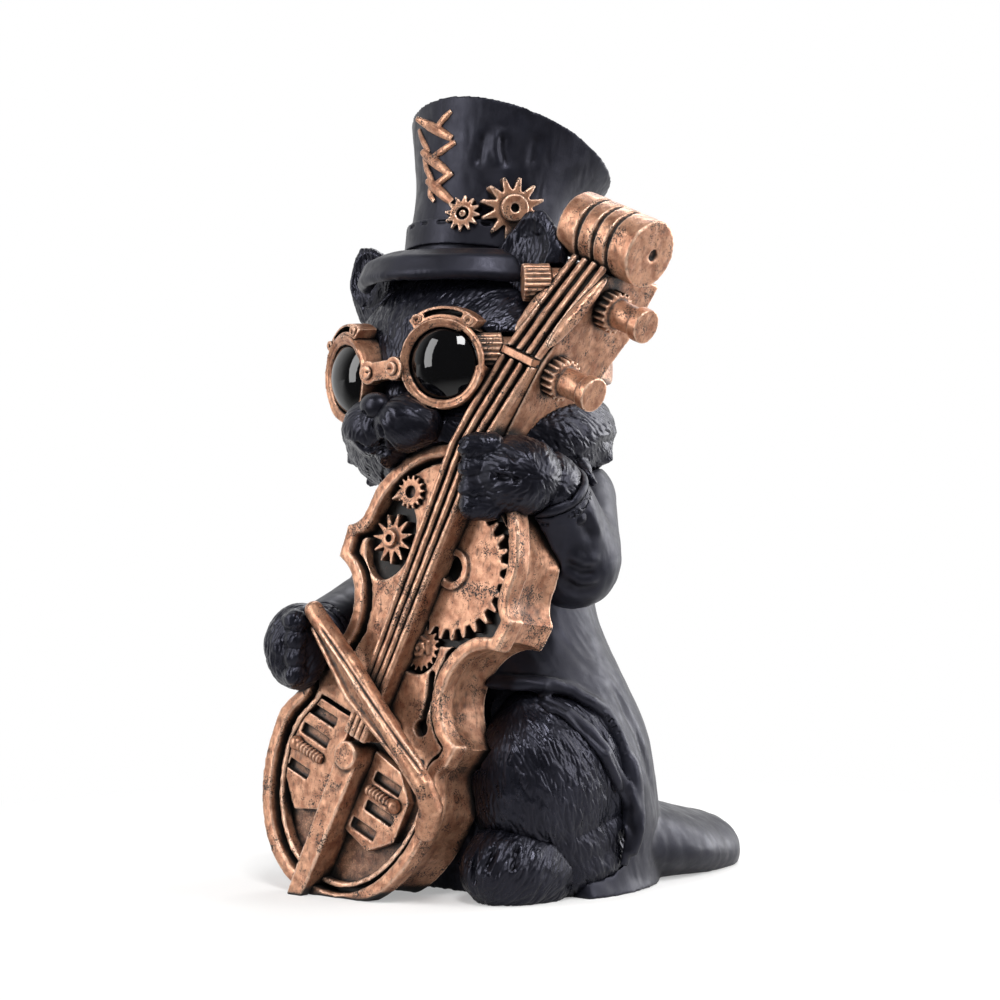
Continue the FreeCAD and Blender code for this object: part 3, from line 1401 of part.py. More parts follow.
def cat_pieces():
    """The cat in its coat, and the brim of the hat, which its ears come through."""
    pegs = knob_pockets()
    neck = neck_pocket()
    cello = ["cello_body", front_pocket()]
    eyes = eyepiece_pockets()
    arms = [sleeve(1), sleeve(-1)]
    face = ["hat_crown", "nose", goggle_bridge(), "goggle_strap"]
    beside = ["hat_crown", "scroll", skull(), skull_band(strap_thickness)]
    pieces = [("nose", nose(), []),
              ("head", head(), face + cello + neck + eyes + pegs)]
    for side, name in ((1, "left"), (-1, "right")):
        pieces.append((f"ear_{name}", ear(side), beside + pegs))
    brim_beds = ["hat_crown", "hat_band", skull(), ear_form(1), ear_form(-1)] + pegs
    pieces.append(("hat_brim", hat_brim(), brim_beds))
    pieces.append(("paw_left", paw_left(), cello[:1] + [rim_pocket(), ruff()] + neck))
    pieces.append(("paw_right", paw_right(), cello[:1] + [rim_pocket(), "bow_stick", "bow_hair"]))
    pieces.append(("torso", body_loft(0.0, 0.0), [ruff(), "cello_body"]))
    for side, name in ((1, "left"), (-1, "right")):
        pieces.append((f"thigh_{name}", thigh_form(side, 0.0), ["torso", "cello_body", rim_pocket()]))
    for side, name in ((1, "left"), (-1, "right")):
        pieces.append((f"foot_{name}", foot(side), ["torso", f"thigh_{name}", "cello_body", rim_pocket()]))
    for side, name, arm in ((1, "left", arms[0]), (-1, "right", arms[1])):
        pieces.append((f"cuff_{name}", cuff(side), [f"paw_{name}", ruff(), "cello_body", rim_pocket()]))
        pieces.append((f"sleeve_{name}", arm, ["torso", ruff(), "cello_body", rim_pocket(), f"cuff_{name}",
                                               f"paw_{name}"] + neck))
    pieces.append(("coat", coat(), ["torso", ruff(), "cello_body", rim_pocket()] + arms + both("foot")))
    return pieces


def seated(pieces):
    """Trim every piece to the beds that it meets, so that neighbours lie face to face."""
    fitted = {}
    for name, shape, beds in pieces:
        for bed in beds:
            tool = fitted[bed] if isinstance(bed, str) else bed
            if shape.BoundBox.intersect(tool.BoundBox):
                shape = shape.cut(tool)
        largest = max(solid.Volume for solid in shape.Solids)
        solids = [solid for solid in shape.Solids if solid.Volume > SMALLEST_PIECE_SHARE * largest]
        fitted[name] = solids[0] if len(solids) == 1 else Part.makeCompound(solids)
    return fitted


def main():
    """Build, fit and write every piece, with the origin under the middle of the figurine."""
    os.makedirs("parts", exist_ok=True)
    fitted = seated(hat_pieces() + cello_pieces() + goggle_pieces() + cat_pieces())
    corners = [point for shape in fitted.values() for point in shape.tessellate(seat_depth / 10)[0]]
    spans = [(min(values), max(values)) for values in zip(*corners)]
    shift = Vector(-sum(spans[0]) / 2, -sum(spans[1]) / 2, -spans[2][0])
    for name, shape in fitted.items():
        shape.translate(shift)
        shape.exportStep(f"parts/{name}.step")
    print(len(fitted), "pieces, size", [round(high - low, 2) for low, high in spans])


main()
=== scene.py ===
import logging
import math
from dataclasses import dataclass
from enum import Enum, IntEnum
from typing import Callable, Sequence

import bmesh
import bpy
import numpy as np
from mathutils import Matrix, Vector, kdtree
from mathutils.bvhtree import BVHTree


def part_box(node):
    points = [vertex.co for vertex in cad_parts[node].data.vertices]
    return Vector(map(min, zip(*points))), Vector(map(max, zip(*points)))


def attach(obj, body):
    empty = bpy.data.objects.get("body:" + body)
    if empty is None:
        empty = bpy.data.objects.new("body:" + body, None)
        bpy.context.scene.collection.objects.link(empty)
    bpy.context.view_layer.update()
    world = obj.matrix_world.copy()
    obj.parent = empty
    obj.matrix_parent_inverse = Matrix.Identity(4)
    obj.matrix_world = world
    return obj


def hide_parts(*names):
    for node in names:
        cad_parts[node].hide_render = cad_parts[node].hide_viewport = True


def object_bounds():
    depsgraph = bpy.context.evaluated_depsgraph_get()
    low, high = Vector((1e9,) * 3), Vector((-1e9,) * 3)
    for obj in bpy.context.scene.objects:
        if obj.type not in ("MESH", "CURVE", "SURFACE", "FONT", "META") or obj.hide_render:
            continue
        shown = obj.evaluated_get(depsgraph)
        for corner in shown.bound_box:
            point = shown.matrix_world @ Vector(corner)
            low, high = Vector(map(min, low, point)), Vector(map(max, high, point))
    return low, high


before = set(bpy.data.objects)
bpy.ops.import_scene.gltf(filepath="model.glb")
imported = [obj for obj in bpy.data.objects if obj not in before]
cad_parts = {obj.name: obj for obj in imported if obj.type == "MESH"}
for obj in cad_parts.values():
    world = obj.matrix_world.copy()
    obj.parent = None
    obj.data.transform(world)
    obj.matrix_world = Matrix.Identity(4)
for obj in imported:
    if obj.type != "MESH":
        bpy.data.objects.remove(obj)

# The figurine is cast in resin and painted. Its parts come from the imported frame. Each part is
# remade here as a fine even skin, carved with fur, folds and wear, and painted. The frame is in
# metres; the sizes in this file are millimetres.

MM = 0.001
CAD_BOX = [list(corner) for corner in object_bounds()]
SIDES = ("left", "right")
UP = np.array((0.0, 0.0, 1.0))
WHITE = (1, 1, 1, 1)
RESIN_IOR = 1.5
# odd primes and a table size that scatter the cells of smooth noise
SCATTER = (73856093, 19349663, 83492791)
NOISE_TABLE = 4096
NOISE_ORIGIN = 1000.0
# points of one corner are welded within this many metres
WELD = 1e-7
log = logging.getLogger("figurine")

Path = Sequence[tuple[float, float]]
Flow = Callable[[np.ndarray], np.ndarray]
# a closed form: its points in millimetres, and its faces
Form = tuple[np.ndarray, list[tuple[int, ...]]]
Tree = bpy.types.NodeTree
Socket = bpy.types.NodeSocket


class Slot(Enum):
    """The record's material slots."""

    BRONZE = "bronze_paint"
    LENS = "lens_gloss"
    COAT = "coat_black"
    FUR = "fur_black"


class Seed(IntEnum):
    """Which random draw each piece takes. Hairs and fine lumps take the next one."""

    HEAD = 11
    EAR = 21
    LEG_LEFT = 31
    LEG_RIGHT = 41
    PAW = 51
    TORSO = 61
    COAT = 71
    COAT_BRUSH = 73
    SLEEVE = 81
    CUFF = 83
    SLEEVE_BRUSH = 85
    CROWN = 91
    CROWN_BRUSH = 93
    BRIM = 95
    PITS = 101
    WAVES = 102
    STRINGS = 103


def linear(code: str) -> tuple[float, float, float, float]:
    """Turns an sRGB hex colour into Blender's linear colour.

    Args:
        code: the colour, as in "#b87a55".

    Returns:
        Red, green, blue and a full alpha.
    """
    parts = [int(code[i:i + 2], 16) / 255 for i in (1, 3, 5)]
    curve = [p / 12.92 if p <= 0.04045 else ((p + 0.055) / 1.055) ** 2.4 for p in parts]
    return curve[0], curve[1], curve[2], 1.0


def node(tree: Tree, kind: str, inputs: dict | tuple = (), out: int | str = 0,
         **settings: object) -> Socket | None:
    """Adds a shader node with its settings and links.

    Args:
        tree: the node tree that takes it.
        kind: Blender's name for the node type, without "ShaderNode".
        inputs: values, or output sockets to link, in order or by socket name or number.
        out: the output that is wanted.
        settings: the node's own attributes.

    Returns:
        That output's socket, or None where the node has no output.
    """
    made = tree.nodes.new("ShaderNode" + kind)
    for name, value in settings.items():
        setattr(made, name, value)
    for key, value in (inputs if isinstance(inputs, dict) else dict(enumerate(inputs))).items():
        if isinstance(value, Socket):
            tree.links.new(value, made.inputs[key])
        else:
            made.inputs[key].default_value = value
    return made.outputs[out] if len(made.outputs) else None


def new_material(name: str) -> tuple[bpy.types.Material, Tree]:
    """Starts a material with an empty tree."""
    material = bpy.data.materials.new(name)
    material.use_nodes = True
    material.node_tree.nodes.clear()
    return material, material.node_tree


def soft(tree: Tree, *inputs: Socket | float) -> Socket:
    """A soft step of a value from a low to a high one, on to a range of its own."""
    return node(tree, "MapRange", inputs, interpolation_type="SMOOTHSTEP")


def real(span: Sequence[float]) -> list[float]:
    """Millimetres as Blender's metres."""
    return [edge * MM for edge in span]


def times(tree: Tree, first: Socket, second: Socket | float) -> Socket:
    """The product of two values."""
    return node(tree, "Math", (first, second), operation="MULTIPLY")


def mixed(tree: Tree, share: Socket, low: object, high: object) -> Socket:
    """A colour between two colours or colour sockets: a share of 0 gives the low one."""
    return node(tree, "Mix", {0: share, 6: low, 7: high}, 2, data_type="RGBA")


@dataclass(frozen=True)
class Grain:
    """Noise with lumps of a real size in millimetres, and how fine and strong its octaves are."""

    size: float
    detail: float = 3.0
    rough: float = 0.6

    def noise(self, tree: Tree) -> Socket:
        """The noise, laid on the piece's own coordinates."""
        place = node(tree, "TexCoord", out="Object")
        return node(tree, "TexNoise", {"Vector": place, "Scale": 1 / (self.size * MM), "Detail": self.detail,
                                       "Roughness": self.rough})

    def bump(self, tree: Tree, height: float, share: float) -> Socket:
        """Normals that stand and lie as the noise does, over a height in millimetres."""
        return node(tree, "Bump", {"Strength": share, "Distance": height * MM, "Height": self.noise(tree)})


@dataclass(frozen=True)
class BlackPaint:
    """Black acrylic paint on cast polyresin, brushed on: satin, and a little paler on raised strokes, partly
    where handling has thinned it and partly as a painted highlight.
    """

    name: str
    deep: str = "#040407"
    rubbed_and_highlight: str = "#14151c"
    rough: tuple[float, float] = (0.24, 0.40)
    shine: float = 0.38
    # the varnish in the paint gives its broad lights a cool tint
    gleam: str = "#e4e4ff"
    brush: Grain = Grain(0.5)
    brush_height: float = 0.03
    brush_share: float = 0.5
    edge: tuple[float, float] = (0.10, -0.02)
    cloud: Grain = Grain(9.0, 2.0)
    clouded: tuple[float, float, float, float] = (0.35, 0.75, 0.35, 1.0)
    uneven: Grain = Grain(4.0)
    uneven_range: tuple[float, float] = (0.3, 0.7)

    def make(self) -> bpy.types.Material:
        """Builds the material."""
        material, tree = new_material(self.name)
        hollow = node(tree, "Attribute", out="Fac", attribute_name="hollow")
        # raised strokes show a little paler: partly paint thinned by handling, partly a painted highlight
        raised = soft(tree, hollow, *real(self.edge))
        rubbed_and_highlit = times(tree, raised, soft(tree, self.cloud.noise(tree), *self.clouded))
        colour = mixed(tree, rubbed_and_highlit, linear(self.deep), linear(self.rubbed_and_highlight))
        rough = soft(tree, self.uneven.noise(tree), *self.uneven_range, *self.rough)
        bump = self.brush.bump(tree, self.brush_height, self.brush_share)
        shader = node(tree, "BsdfPrincipled", {
            "Base Color": colour, "Roughness": rough, "IOR": RESIN_IOR, "Specular IOR Level": self.shine,
            "Specular Tint": linear(self.gleam), "Normal": bump})
        node(tree, "OutputMaterial", {"Surface": shader})
        return material


@dataclass(frozen=True)
class BronzePaint:
    """Metallic copper-bronze acrylic, dry-brushed over a black wash: black in hollows, and lighter on edges,
    partly from the dry brush and partly a painted highlight.
    """

    name: str
    wash: str = "#0e0b0a"
    shade: str = "#98674f"
    copper: str = "#cc9a7c"
    # a lighter copper for crests: partly the dry brush, partly a painted highlight
    bright_edge_and_highlight: str = "#f4ceb4"
    hollow: tuple[float, float] = (0.07, -0.02)
    crest: tuple[float, float] = (-0.01, -0.10)
    # how far the brush reaches into a hollow, and how ragged an edge it leaves
    reach: float = 3.4
    sky_samples: int = 8
    ragged: float = 0.36
    sky: tuple[float, float] = (0.54, 0.78)
    # pits hold the black, more of them in patches
    flecks: Grain = Grain(0.42, 4.0, 0.75)
    patch: Grain = Grain(6.0, 3.0)
    patch_range: tuple[float, float] = (0.46, 0.66)
    patch_share: float = 0.13
    pitted: tuple[float, float, float, float] = (0.60, 0.66, 1.0, 0.0)
    streak: tuple[float, float, float] = (0.8, 0.8, 2.2)
    streaked: tuple[float, float, float, float] = (0.30, 0.46, 0.55, 1.0)
    # a little paint still catches the lumps of a washed floor
    caught: tuple[float, float, float, float] = (0.52, 0.66, 0.0, 0.5)
    washed: tuple[float, float, float, float] = (0.15, 0.75, 1.0, 0.0)
    tone: Grain = Grain(2.6, 4.0)
    tone_range: tuple[float, float] = (0.30, 0.66)
    metal_share: float = 0.72
    rough: tuple[float, float] = (0.55, 0.36)
    pit_depth: float = 0.06
    pit_strength: float = 0.7

    def make(self) -> bpy.types.Material:
        """Builds the material."""
        material, tree = new_material(self.name)
        brushed = self.covered(tree)
        hollow = node(tree, "Attribute", out="Fac", attribute_name="hollow")
        tone = soft(tree, self.tone.noise(tree), *self.tone_range)
        paint = mixed(tree, tone, linear(self.shade), linear(self.copper))
        # crests take the lighter copper: partly the dry brush, partly a painted highlight
        paint = mixed(tree, soft(tree, hollow, *real(self.crest)), paint, linear(self.bright_edge_and_highlight))
        colour = mixed(tree, brushed, linear(self.wash), paint)
        metal = times(tree, brushed, self.metal_share)
        rough = soft(tree, brushed, 0.0, 1.0, *self.rough)
        bump = self.flecks.bump(tree, self.pit_depth, self.pit_strength)
        shader = node(tree, "BsdfPrincipled", {"Base Color": colour, "Metallic": metal, "Roughness": rough,
                                               "Normal": bump})
        node(tree, "OutputMaterial", {"Surface": shader})
        return material

    def covered(self, tree: Tree) -> Socket:
        """How much of the black the dry brush covers, from 0 to 1: it misses hollows, pits and streaks."""
        hollow = node(tree, "Attribute", out="Fac", attribute_name="hollow")
        open_sky = node(tree, "AmbientOcclusion", {"Distance": self.reach * MM}, "AO",
                        samples=self.sky_samples)
        flecks = self.flecks.noise(tree)
        ragged = node(tree, "Math", (flecks, self.ragged, -self.ragged / 2), operation="MULTIPLY_ADD")
        sky = node(tree, "Math", (open_sky, ragged), operation="ADD")
        sky = soft(tree, sky, *self.sky)
        high = soft(tree, hollow, *real(self.hollow))
        patch = soft(tree, self.patch.noise(tree), *self.patch_range)
        pitted = node(tree, "Math", (patch, self.patch_share, flecks), operation="MULTIPLY_ADD")
        pits = soft(tree, pitted, *self.pitted)
        drawn = node(tree, "Mapping", {"Vector": node(tree, "TexCoord", out="Object"),
                                       "Scale": tuple(1 / (size * MM) for size in self.streak)})
        streaks = node(tree, "TexNoise", {"Vector": drawn, "Scale": 1.0, "Detail": self.patch.detail})
        streaks = soft(tree, streaks, *self.streaked)
        brushed = times(tree, times(tree, sky, high), times(tree, pits, streaks))
        washed = node(tree, "Attribute", out="Fac", attribute_name="wash")
        caught = soft(tree, flecks, *self.caught)
        washed = node(tree, "Math", (washed, caught), operation="SUBTRACT")
        return times(tree, brushed, soft(tree, washed, *self.washed))


@dataclass(frozen=True)
class LensGloss:
    """Black enamel under clear gloss varnish: a mirror-smooth skin, never quite even."""

    name: str
    base: str = "#020203"
    rough: float = 0.04
    ripple: Grain = Grain(2.4, 1.0)
    ripple_height: float = 0.10
    ripple_share: float = 0.35

    def make(self) -> bpy.types.Material:
        """Builds the material."""
        material, tree = new_material(self.name)
        bump = self.ripple.bump(tree, self.ripple_height, self.ripple_share)
        shader = node(tree, "BsdfPrincipled", {"Base Color": linear(self.base), "Roughness": self.rough,
                                               "IOR": RESIN_IOR, "Normal": bump})
        node(tree, "OutputMaterial", {"Surface": shader})
        return material


@dataclass
class Eye:
    """The photograph's viewpoint, also used to lay a fold or crease on what it sees."""

    bearing: float = 42.0
    height: float = 88.0
    distance: float = 580.0
    centre: tuple[float, float] = (-4.996, -6.683)
    focal: float = 90.0
    sensor: float = 36.0
    picture: float = 1000.0

    def forward(self) -> np.ndarray:
        """The level direction in which the camera looks."""
        turn = math.radians(self.bearing)
        return np.array((-math.sin(turn), math.cos(turn), 0.0))

    def right(self) -> np.ndarray:
        """The level direction to the camera's right."""
        turn = math.radians(self.bearing)
        return np.array((math.cos(turn), math.sin(turn), 0.0))

    def place(self) -> np.ndarray:
        """Where the camera stands, in millimetres."""
        return np.array((*self.centre, self.height)) - self.forward() * self.distance

    def ray(self, across: float, down: float) -> np.ndarray:
        """The direction towards a point of the picture.

        Args:
            across: pixels from the left edge.
            down: pixels from the top edge.

        Returns:
            A unit vector.
        """
        spread = self.sensor / self.focal / self.picture
        way = self.forward() + self.right() * (across - self.picture / 2) * spread
        way = way - UP * (down - self.picture / 2) * spread
        return way / np.linalg.norm(way)

    def seen_at(self, points: np.ndarray) -> np.ndarray:
        """Where places appear in the picture.

        Args:
            points: places in millimetres, one a row.

        Returns:
            Pixels across and down, one pair a row.
        """
        away = points - self.place()
        depth = away @ self.forward() * self.sensor / self.focal / self.picture
        half = self.picture / 2
        return np.stack((half + away @ self.right() / depth, half - away[:, 2] / depth), axis=1)

    def set_up(self) -> None:
        """Adds the camera to the scene."""
        data = bpy.data.cameras.new("camera")
        data.lens = self.focal
        data.sensor_width = self.sensor
        camera = bpy.data.objects.new("camera", data)
        camera.location = Vector(self.place()) * MM
        camera.rotation_euler = (math.pi / 2, 0.0, math.radians(self.bearing))
        bpy.context.scene.collection.objects.link(camera)
        bpy.context.scene.camera = camera


EYE = Eye()


def unit(vectors: np.ndarray) -> np.ndarray:
    """Vectors of length one."""
    return vectors / np.maximum(np.linalg.norm(vectors, axis=-1, keepdims=True), 1e-9)


def step(values: np.ndarray, low: float, high: float) -> np.ndarray:
    """A soft step from 0 at one value to 1 at another."""
    share = np.clip((values - low) / (high - low), 0, 1)
    return share * share * (3 - 2 * share)


def lumps(points: np.ndarray, size: float, seed: int) -> np.ndarray:
    """Smooth noise from -1 to 1 at points in space.

    Args:
        points: places in millimetres, one a row.
        size: the size of a lump in millimetres.
        seed: which noise.

    Returns:
        One value a point.
    """
    table = np.random.default_rng(seed).random(NOISE_TABLE) * 2 - 1
    scaled = points / size + NOISE_ORIGIN
    cell = np.floor(scaled).astype(np.int64)
    part = scaled - cell
    part = part * part * (3 - 2 * part)
    total = np.zeros(len(points))
    for corner in range(8):
        shift = np.array((corner & 1, corner >> 1 & 1, corner >> 2 & 1))
        spot = (cell + shift) * SCATTER
        value = table[(spot[:, 0] ^ spot[:, 1] ^ spot[:, 2]) & (NOISE_TABLE - 1)]
        total += value * np.prod(np.where(shift, part, 1 - part), axis=1)
    return total


def circle(axis: tuple[float, float, float], around: int) -> tuple[np.ndarray, np.ndarray]:
    """An axis's unit vector, and unit vectors all round it.

    Args:
        axis: the axis's direction.
        around: how many vectors go round it.

    Returns:
        The axis, and the vectors, one a row.
    """
    out = unit(np.array(axis))
    side = unit(np.cross(out, UP))
    turn = np.arange(around) / around * 2 * np.pi
    return out, np.cos(turn)[:, None] * side + np.sin(turn)[:, None] * np.cross(out, side)


def ring_faces(rings: int, around: int, closed: bool = False) -> list[tuple[int, ...]]:
    """The faces of a tube of rings of points.

    Args:
        rings: how many rings there are.
        around: how many points a ring has.
        closed: whether the last ring meets the first, as in a bead, or each end has a lid.

    Returns:
        Each face's points.
    """
    spans = rings if closed else rings - 1
    faces = [(i * around + j, i * around + (j + 1) % around, (i + 1) % rings * around + (j + 1) % around,
              (i + 1) % rings * around + j) for i in range(spans) for j in range(around)]
    if closed:
        return faces
    return faces + [tuple(range(around - 1, -1, -1)), tuple(range((rings - 1) * around, rings * around))]


@dataclass(frozen=True)
class Eyepiece:
    """Where one goggle eyepiece sits and how large it is."""

    side: str
    place: tuple[float, float, float]
    axis: tuple[float, float, float]
    around: int = 96
    lens_radius: float = 8.2
    dome: float = 3.4
    foot: float = 4.0
    dome_rings: int = 16
    pole: tuple[float, float] = (0.02, 0.1)
    bead_radius: float = 9.35
    bead_width: float = 0.72
    bead_stand: float = 0.7
    bead_rings: int = 13

    def lens(self) -> Form:
        """The domed lens on its foot."""
        ball = (self.lens_radius ** 2 + self.dome ** 2) / (2 * self.dome)
        rise = np.linspace(math.asin(self.lens_radius / ball), self.pole[0], self.dome_rings)
        profile = [(self.pole[1], -self.foot), (self.lens_radius, -self.foot)]
        profile += [(ball * math.sin(turn), ball * math.cos(turn) + self.dome - ball) for turn in rise]
        out, ring = circle(self.axis, self.around)
        points = [self.place + out * along + ring * away for away, along in profile]
        return np.concatenate(points), ring_faces(len(profile), self.around)

    def bead(self) -> Form:
        """The rim's outer bead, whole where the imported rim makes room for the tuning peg."""
        out, ring = circle(self.axis, self.around)
        turns = np.linspace(0, 2 * np.pi, self.bead_rings + 1)[:-1]
        points = [self.place + out * (self.bead_width * math.sin(turn) + self.bead_stand)
                  + ring * (self.bead_radius + self.bead_width * math.cos(turn)) for turn in turns]
        return np.concatenate(points), ring_faces(self.bead_rings, self.around, True)


EYEPIECES = (Eyepiece("left", (9.564, -41.283, 117.752), (0.3251, -0.9442, -0.0523)),
             Eyepiece("right", (-19.465, -41.283, 115.212), (-0.3251, -0.9442, -0.0523)))


def middle(name: str) -> np.ndarray:
    """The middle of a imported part's box, in millimetres."""
    low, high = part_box(name)
    return np.array((low + high) / 2) / MM


@dataclass(frozen=True)
class Strokes:
    """Strokes of a modelling tool: how long, wide and deep they are, and how closely they lie."""

    length: float
    width: float
    depth: float
    cover: float
    wander: float
    raised: bool = False
    lengths: tuple[float, float] = (0.6, 1.3)
    depths: tuple[float, float] = (0.5, 1.0)
    bend: float = 0.8


@dataclass(frozen=True)
class Line:
    """A ridge, or with a negative height a groove, along points of the picture.

    Its width is half of the whole, and each end dies away over a share of its length.
    """

    pixels: Path
    width: float
    height: float
    fade: float = 0.3


@dataclass(frozen=True)
class Strap:
    """A flat strip with narrow ends that lies on a casting, along points of the picture."""

    pixels: Path
    width: float
    height: float
    reach: float = 4.0
    narrow: float = 0.45
    swell: tuple[float, float] = (0.12, 0.76)
    around: int = 10
    steps: int = 4


class Casting:
    """One cast part as a fine even skin, with its points in millimetres."""

    def __init__(self, names: Sequence[str], grid: float, soften: int, extra: Sequence[Form] = (),
                 own: bool = True) -> None:
        """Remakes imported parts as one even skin.

        Args:
            names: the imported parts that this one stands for.
            grid: the skin's mesh size in millimetres.
            soften: how many times its edges are smoothed.
            extra: closed forms that are joined on.
            own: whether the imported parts' forms are used; if not, the extra ones stand for them.
        """
        self.names = list(names)
        self.extra = extra
        self.own = own
        self.mesh = self._skin(grid * MM, soften)
        count = len(self.mesh.vertices)
        flat = np.zeros(count * 3, np.float32)
        self.mesh.vertices.foreach_get("co", flat)
        self.points = flat.reshape(-1, 3).astype(float) / MM
        pairs = np.zeros(len(self.mesh.edges) * 2, np.int32)
        self.mesh.edges.foreach_get("vertices", pairs)
        self.pairs = pairs.reshape(-1, 2)
        self.links = np.maximum(np.bincount(self.pairs.ravel(), minlength=count), 1)
        self.normals = self._normals()
        self.wash = np.zeros(count)

    def _skin(self, grid: float, soften: int) -> bpy.types.Mesh:
        """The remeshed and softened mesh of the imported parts."""
        gathered = bmesh.new()
        for name in self.names if self.own else ():
            gathered.from_mesh(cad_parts[name].data)
        bmesh.ops.remove_doubles(gathered, verts=gathered.verts, dist=WELD)
        for points, faces in self.extra:
            corners = [gathered.verts.new(Vector(point) * MM) for point in points]
            for face in faces:
                gathered.faces.new([corners[index] for index in face])
        mesh = bpy.data.meshes.new(self.names[0] + "_skin")
        gathered.to_mesh(mesh)
        gathered.free()
        rough = bpy.data.objects.new(self.names[0] + "_skin", mesh)
        bpy.context.scene.collection.objects.link(rough)
        remesh = rough.modifiers.new("even", "REMESH")
        remesh.mode = "VOXEL"
        remesh.voxel_size = grid
        smooth = rough.modifiers.new("soft", "SMOOTH")
        smooth.factor = 0.5
        smooth.iterations = soften
        graph = bpy.context.evaluated_depsgraph_get()
        result = bpy.data.meshes.new_from_object(rough.evaluated_get(graph))
        bpy.data.objects.remove(rough)
        bpy.data.meshes.remove(mesh)
        return result

    def _normals(self) -> np.ndarray:
        """The points' normals, after the points are written to the mesh."""
        self.mesh.vertices.foreach_set("co", (self.points * MM).astype(np.float32).ravel())
        self.mesh.update()
        flat = np.zeros(len(self.mesh.vertices) * 3, np.float32)
        self.mesh.vertices.foreach_get("normal", flat)
        return flat.reshape(-1, 3).astype(float)

    def averaged(self, values: np.ndarray, rounds: int) -> np.ndarray:
        """Values smoothed over the skin.

        Args:
            values: one row a point.
            rounds: how many neighbours far they spread.

        Returns:
            The smoothed values.
        """
        result = values.reshape(len(values), -1).astype(float)
        first, second = self.pairs[:, 0], self.pairs[:, 1]
        for _ in range(rounds):
            moved = np.empty_like(result)
            for column in range(result.shape[1]):
                track = result[:, column]
                total = np.bincount(first, track[second], len(track))
                total += np.bincount(second, track[first], len(track))
                moved[:, column] = total / self.links
            result = (result + moved) / 2
        return result.reshape(values.shape)

    def hollow(self, rounds: int) -> np.ndarray:
        """How far each point lies below the smoothed skin, in millimetres."""
        away = self.averaged(self.points, rounds) - self.points
        return np.sum(away * self.normals, axis=1)

    def push(self, distance: np.ndarray | float) -> None:
        """Moves every point out along its normal, all by one distance or each by its own."""
        self.points += self.normals * np.reshape(distance, (-1, 1))
        self.normals = self._normals()

    def area(self) -> float:
        """The skin's area in square millimetres."""
        sizes = np.zeros(len(self.mesh.polygons), np.float32)
        self.mesh.polygons.foreach_get("area", sizes)
        return float(sizes.sum()) / MM / MM

    def tree(self) -> BVHTree:
        """The skin as a tree that rays can meet."""
        return BVHTree.FromPolygons([Vector(point) for point in self.points],
                                    [tuple(face.vertices) for face in self.mesh.polygons])

    def draw(self, lines: Sequence[Line]) -> None:
        """Raises ridges and sinks grooves where the viewpoint sees their lines on the skin."""
        tree = self.tree()
        paths = []
        for line in lines:
            found = [tree.ray_cast(Vector(EYE.place()), Vector(EYE.ray(*pixel)))[0] for pixel in line.pixels]
            paths.append(np.array([place for place in found if place is not None]))
        for line, path in zip(lines, paths):
            self.crease(path, line)

    def straps(self, straps: Sequence[Strap], rise: float = 0.2) -> list[Form]:
        """Makes flat strips with narrow ends that lie on the skin.

        Args:
            straps: the strips.
            rise: how far their middle stands off the skin, in strip heights.

        Returns:
            The points and faces of each.
        """
        tree = self.tree()
        made = []
        for strap in straps:
            rays = [EYE.ray(*pixel) for pixel in strap.pixels]
            found = [tree.ray_cast(Vector(EYE.place()), Vector(ray)) for ray in rays]
            far = np.array([hit[3] if hit[0] is not None else np.inf for hit in found])
            deepest = np.median(far[np.isfinite(far)]) + strap.reach
            spots = np.array([EYE.place() + ray * min(depth, deepest) for ray, depth in zip(rays, far)])
            ups = np.array([hit[1] if hit[0] is not None else -ray for hit, ray in zip(found, rays)])
            count = strap.steps * (len(spots) - 1) + 1
            share = np.linspace(0, len(spots) - 1, count)
            low = np.minimum(share.astype(int), len(spots) - 2)
            part = (share - low)[:, None]
            centre = spots[low] * (1 - part) + spots[low + 1] * part
            up = unit(ups[low] * (1 - part) + ups[low + 1] * part)
            run = unit(np.gradient(centre, axis=0))
            side = np.cross(up, run)
            wave = np.sin(np.pi * (strap.swell[0] + strap.swell[1] * share / share[-1]))
            full = (strap.narrow + (1 - strap.narrow) * wave)[:, None]
            ring = np.arange(strap.around) / strap.around * 2 * np.pi
            points = [centre[i] + up[i] * (rise + np.sin(a) * full[i]) * strap.height
                      + side[i] * np.cos(a) * full[i] * strap.width for i in range(count) for a in ring]
            made.append((np.array(points), ring_faces(count, strap.around)))
        return made

    def gap_to(self, name: str) -> np.ndarray:
        """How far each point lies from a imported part, in millimetres."""
        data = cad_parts[name].data
        tree = BVHTree.FromPolygons([vertex.co / MM for vertex in data.vertices],
                                    [tuple(face.vertices) for face in data.polygons])
        return np.array([tree.find_nearest(Vector(point))[3] for point in self.points])

    def soothe(self, rounds: int, where: np.ndarray) -> None:
        """Draws points towards the smoothed skin, each by its share."""
        self.points += (self.averaged(self.points, rounds) - self.points) * where[:, None]
        self.normals = self._normals()

    def crease(self, path: np.ndarray, line: Line) -> None:
        """Raises a line's ridge, or sinks its groove, along places on the skin."""
        if len(path) < 2:
            return
        best = np.full(len(self.points), np.inf)
        along = np.zeros(len(self.points))
        for index, (start, end) in enumerate(zip(path, path[1:])):
            way = end - start
            share = np.clip((self.points - start) @ way / (way @ way), 0, 1)
            gap = np.linalg.norm(self.points - start - share[:, None] * way, axis=1)
            closer = gap < best
            best = np.where(closer, gap, best)
            along = np.where(closer, (index + share) / (len(path) - 1), along)
        ends = step(np.minimum(along, 1 - along), 0, line.fade)
        self.push(line.height * np.exp(-(best / line.width) ** 2) * ends)

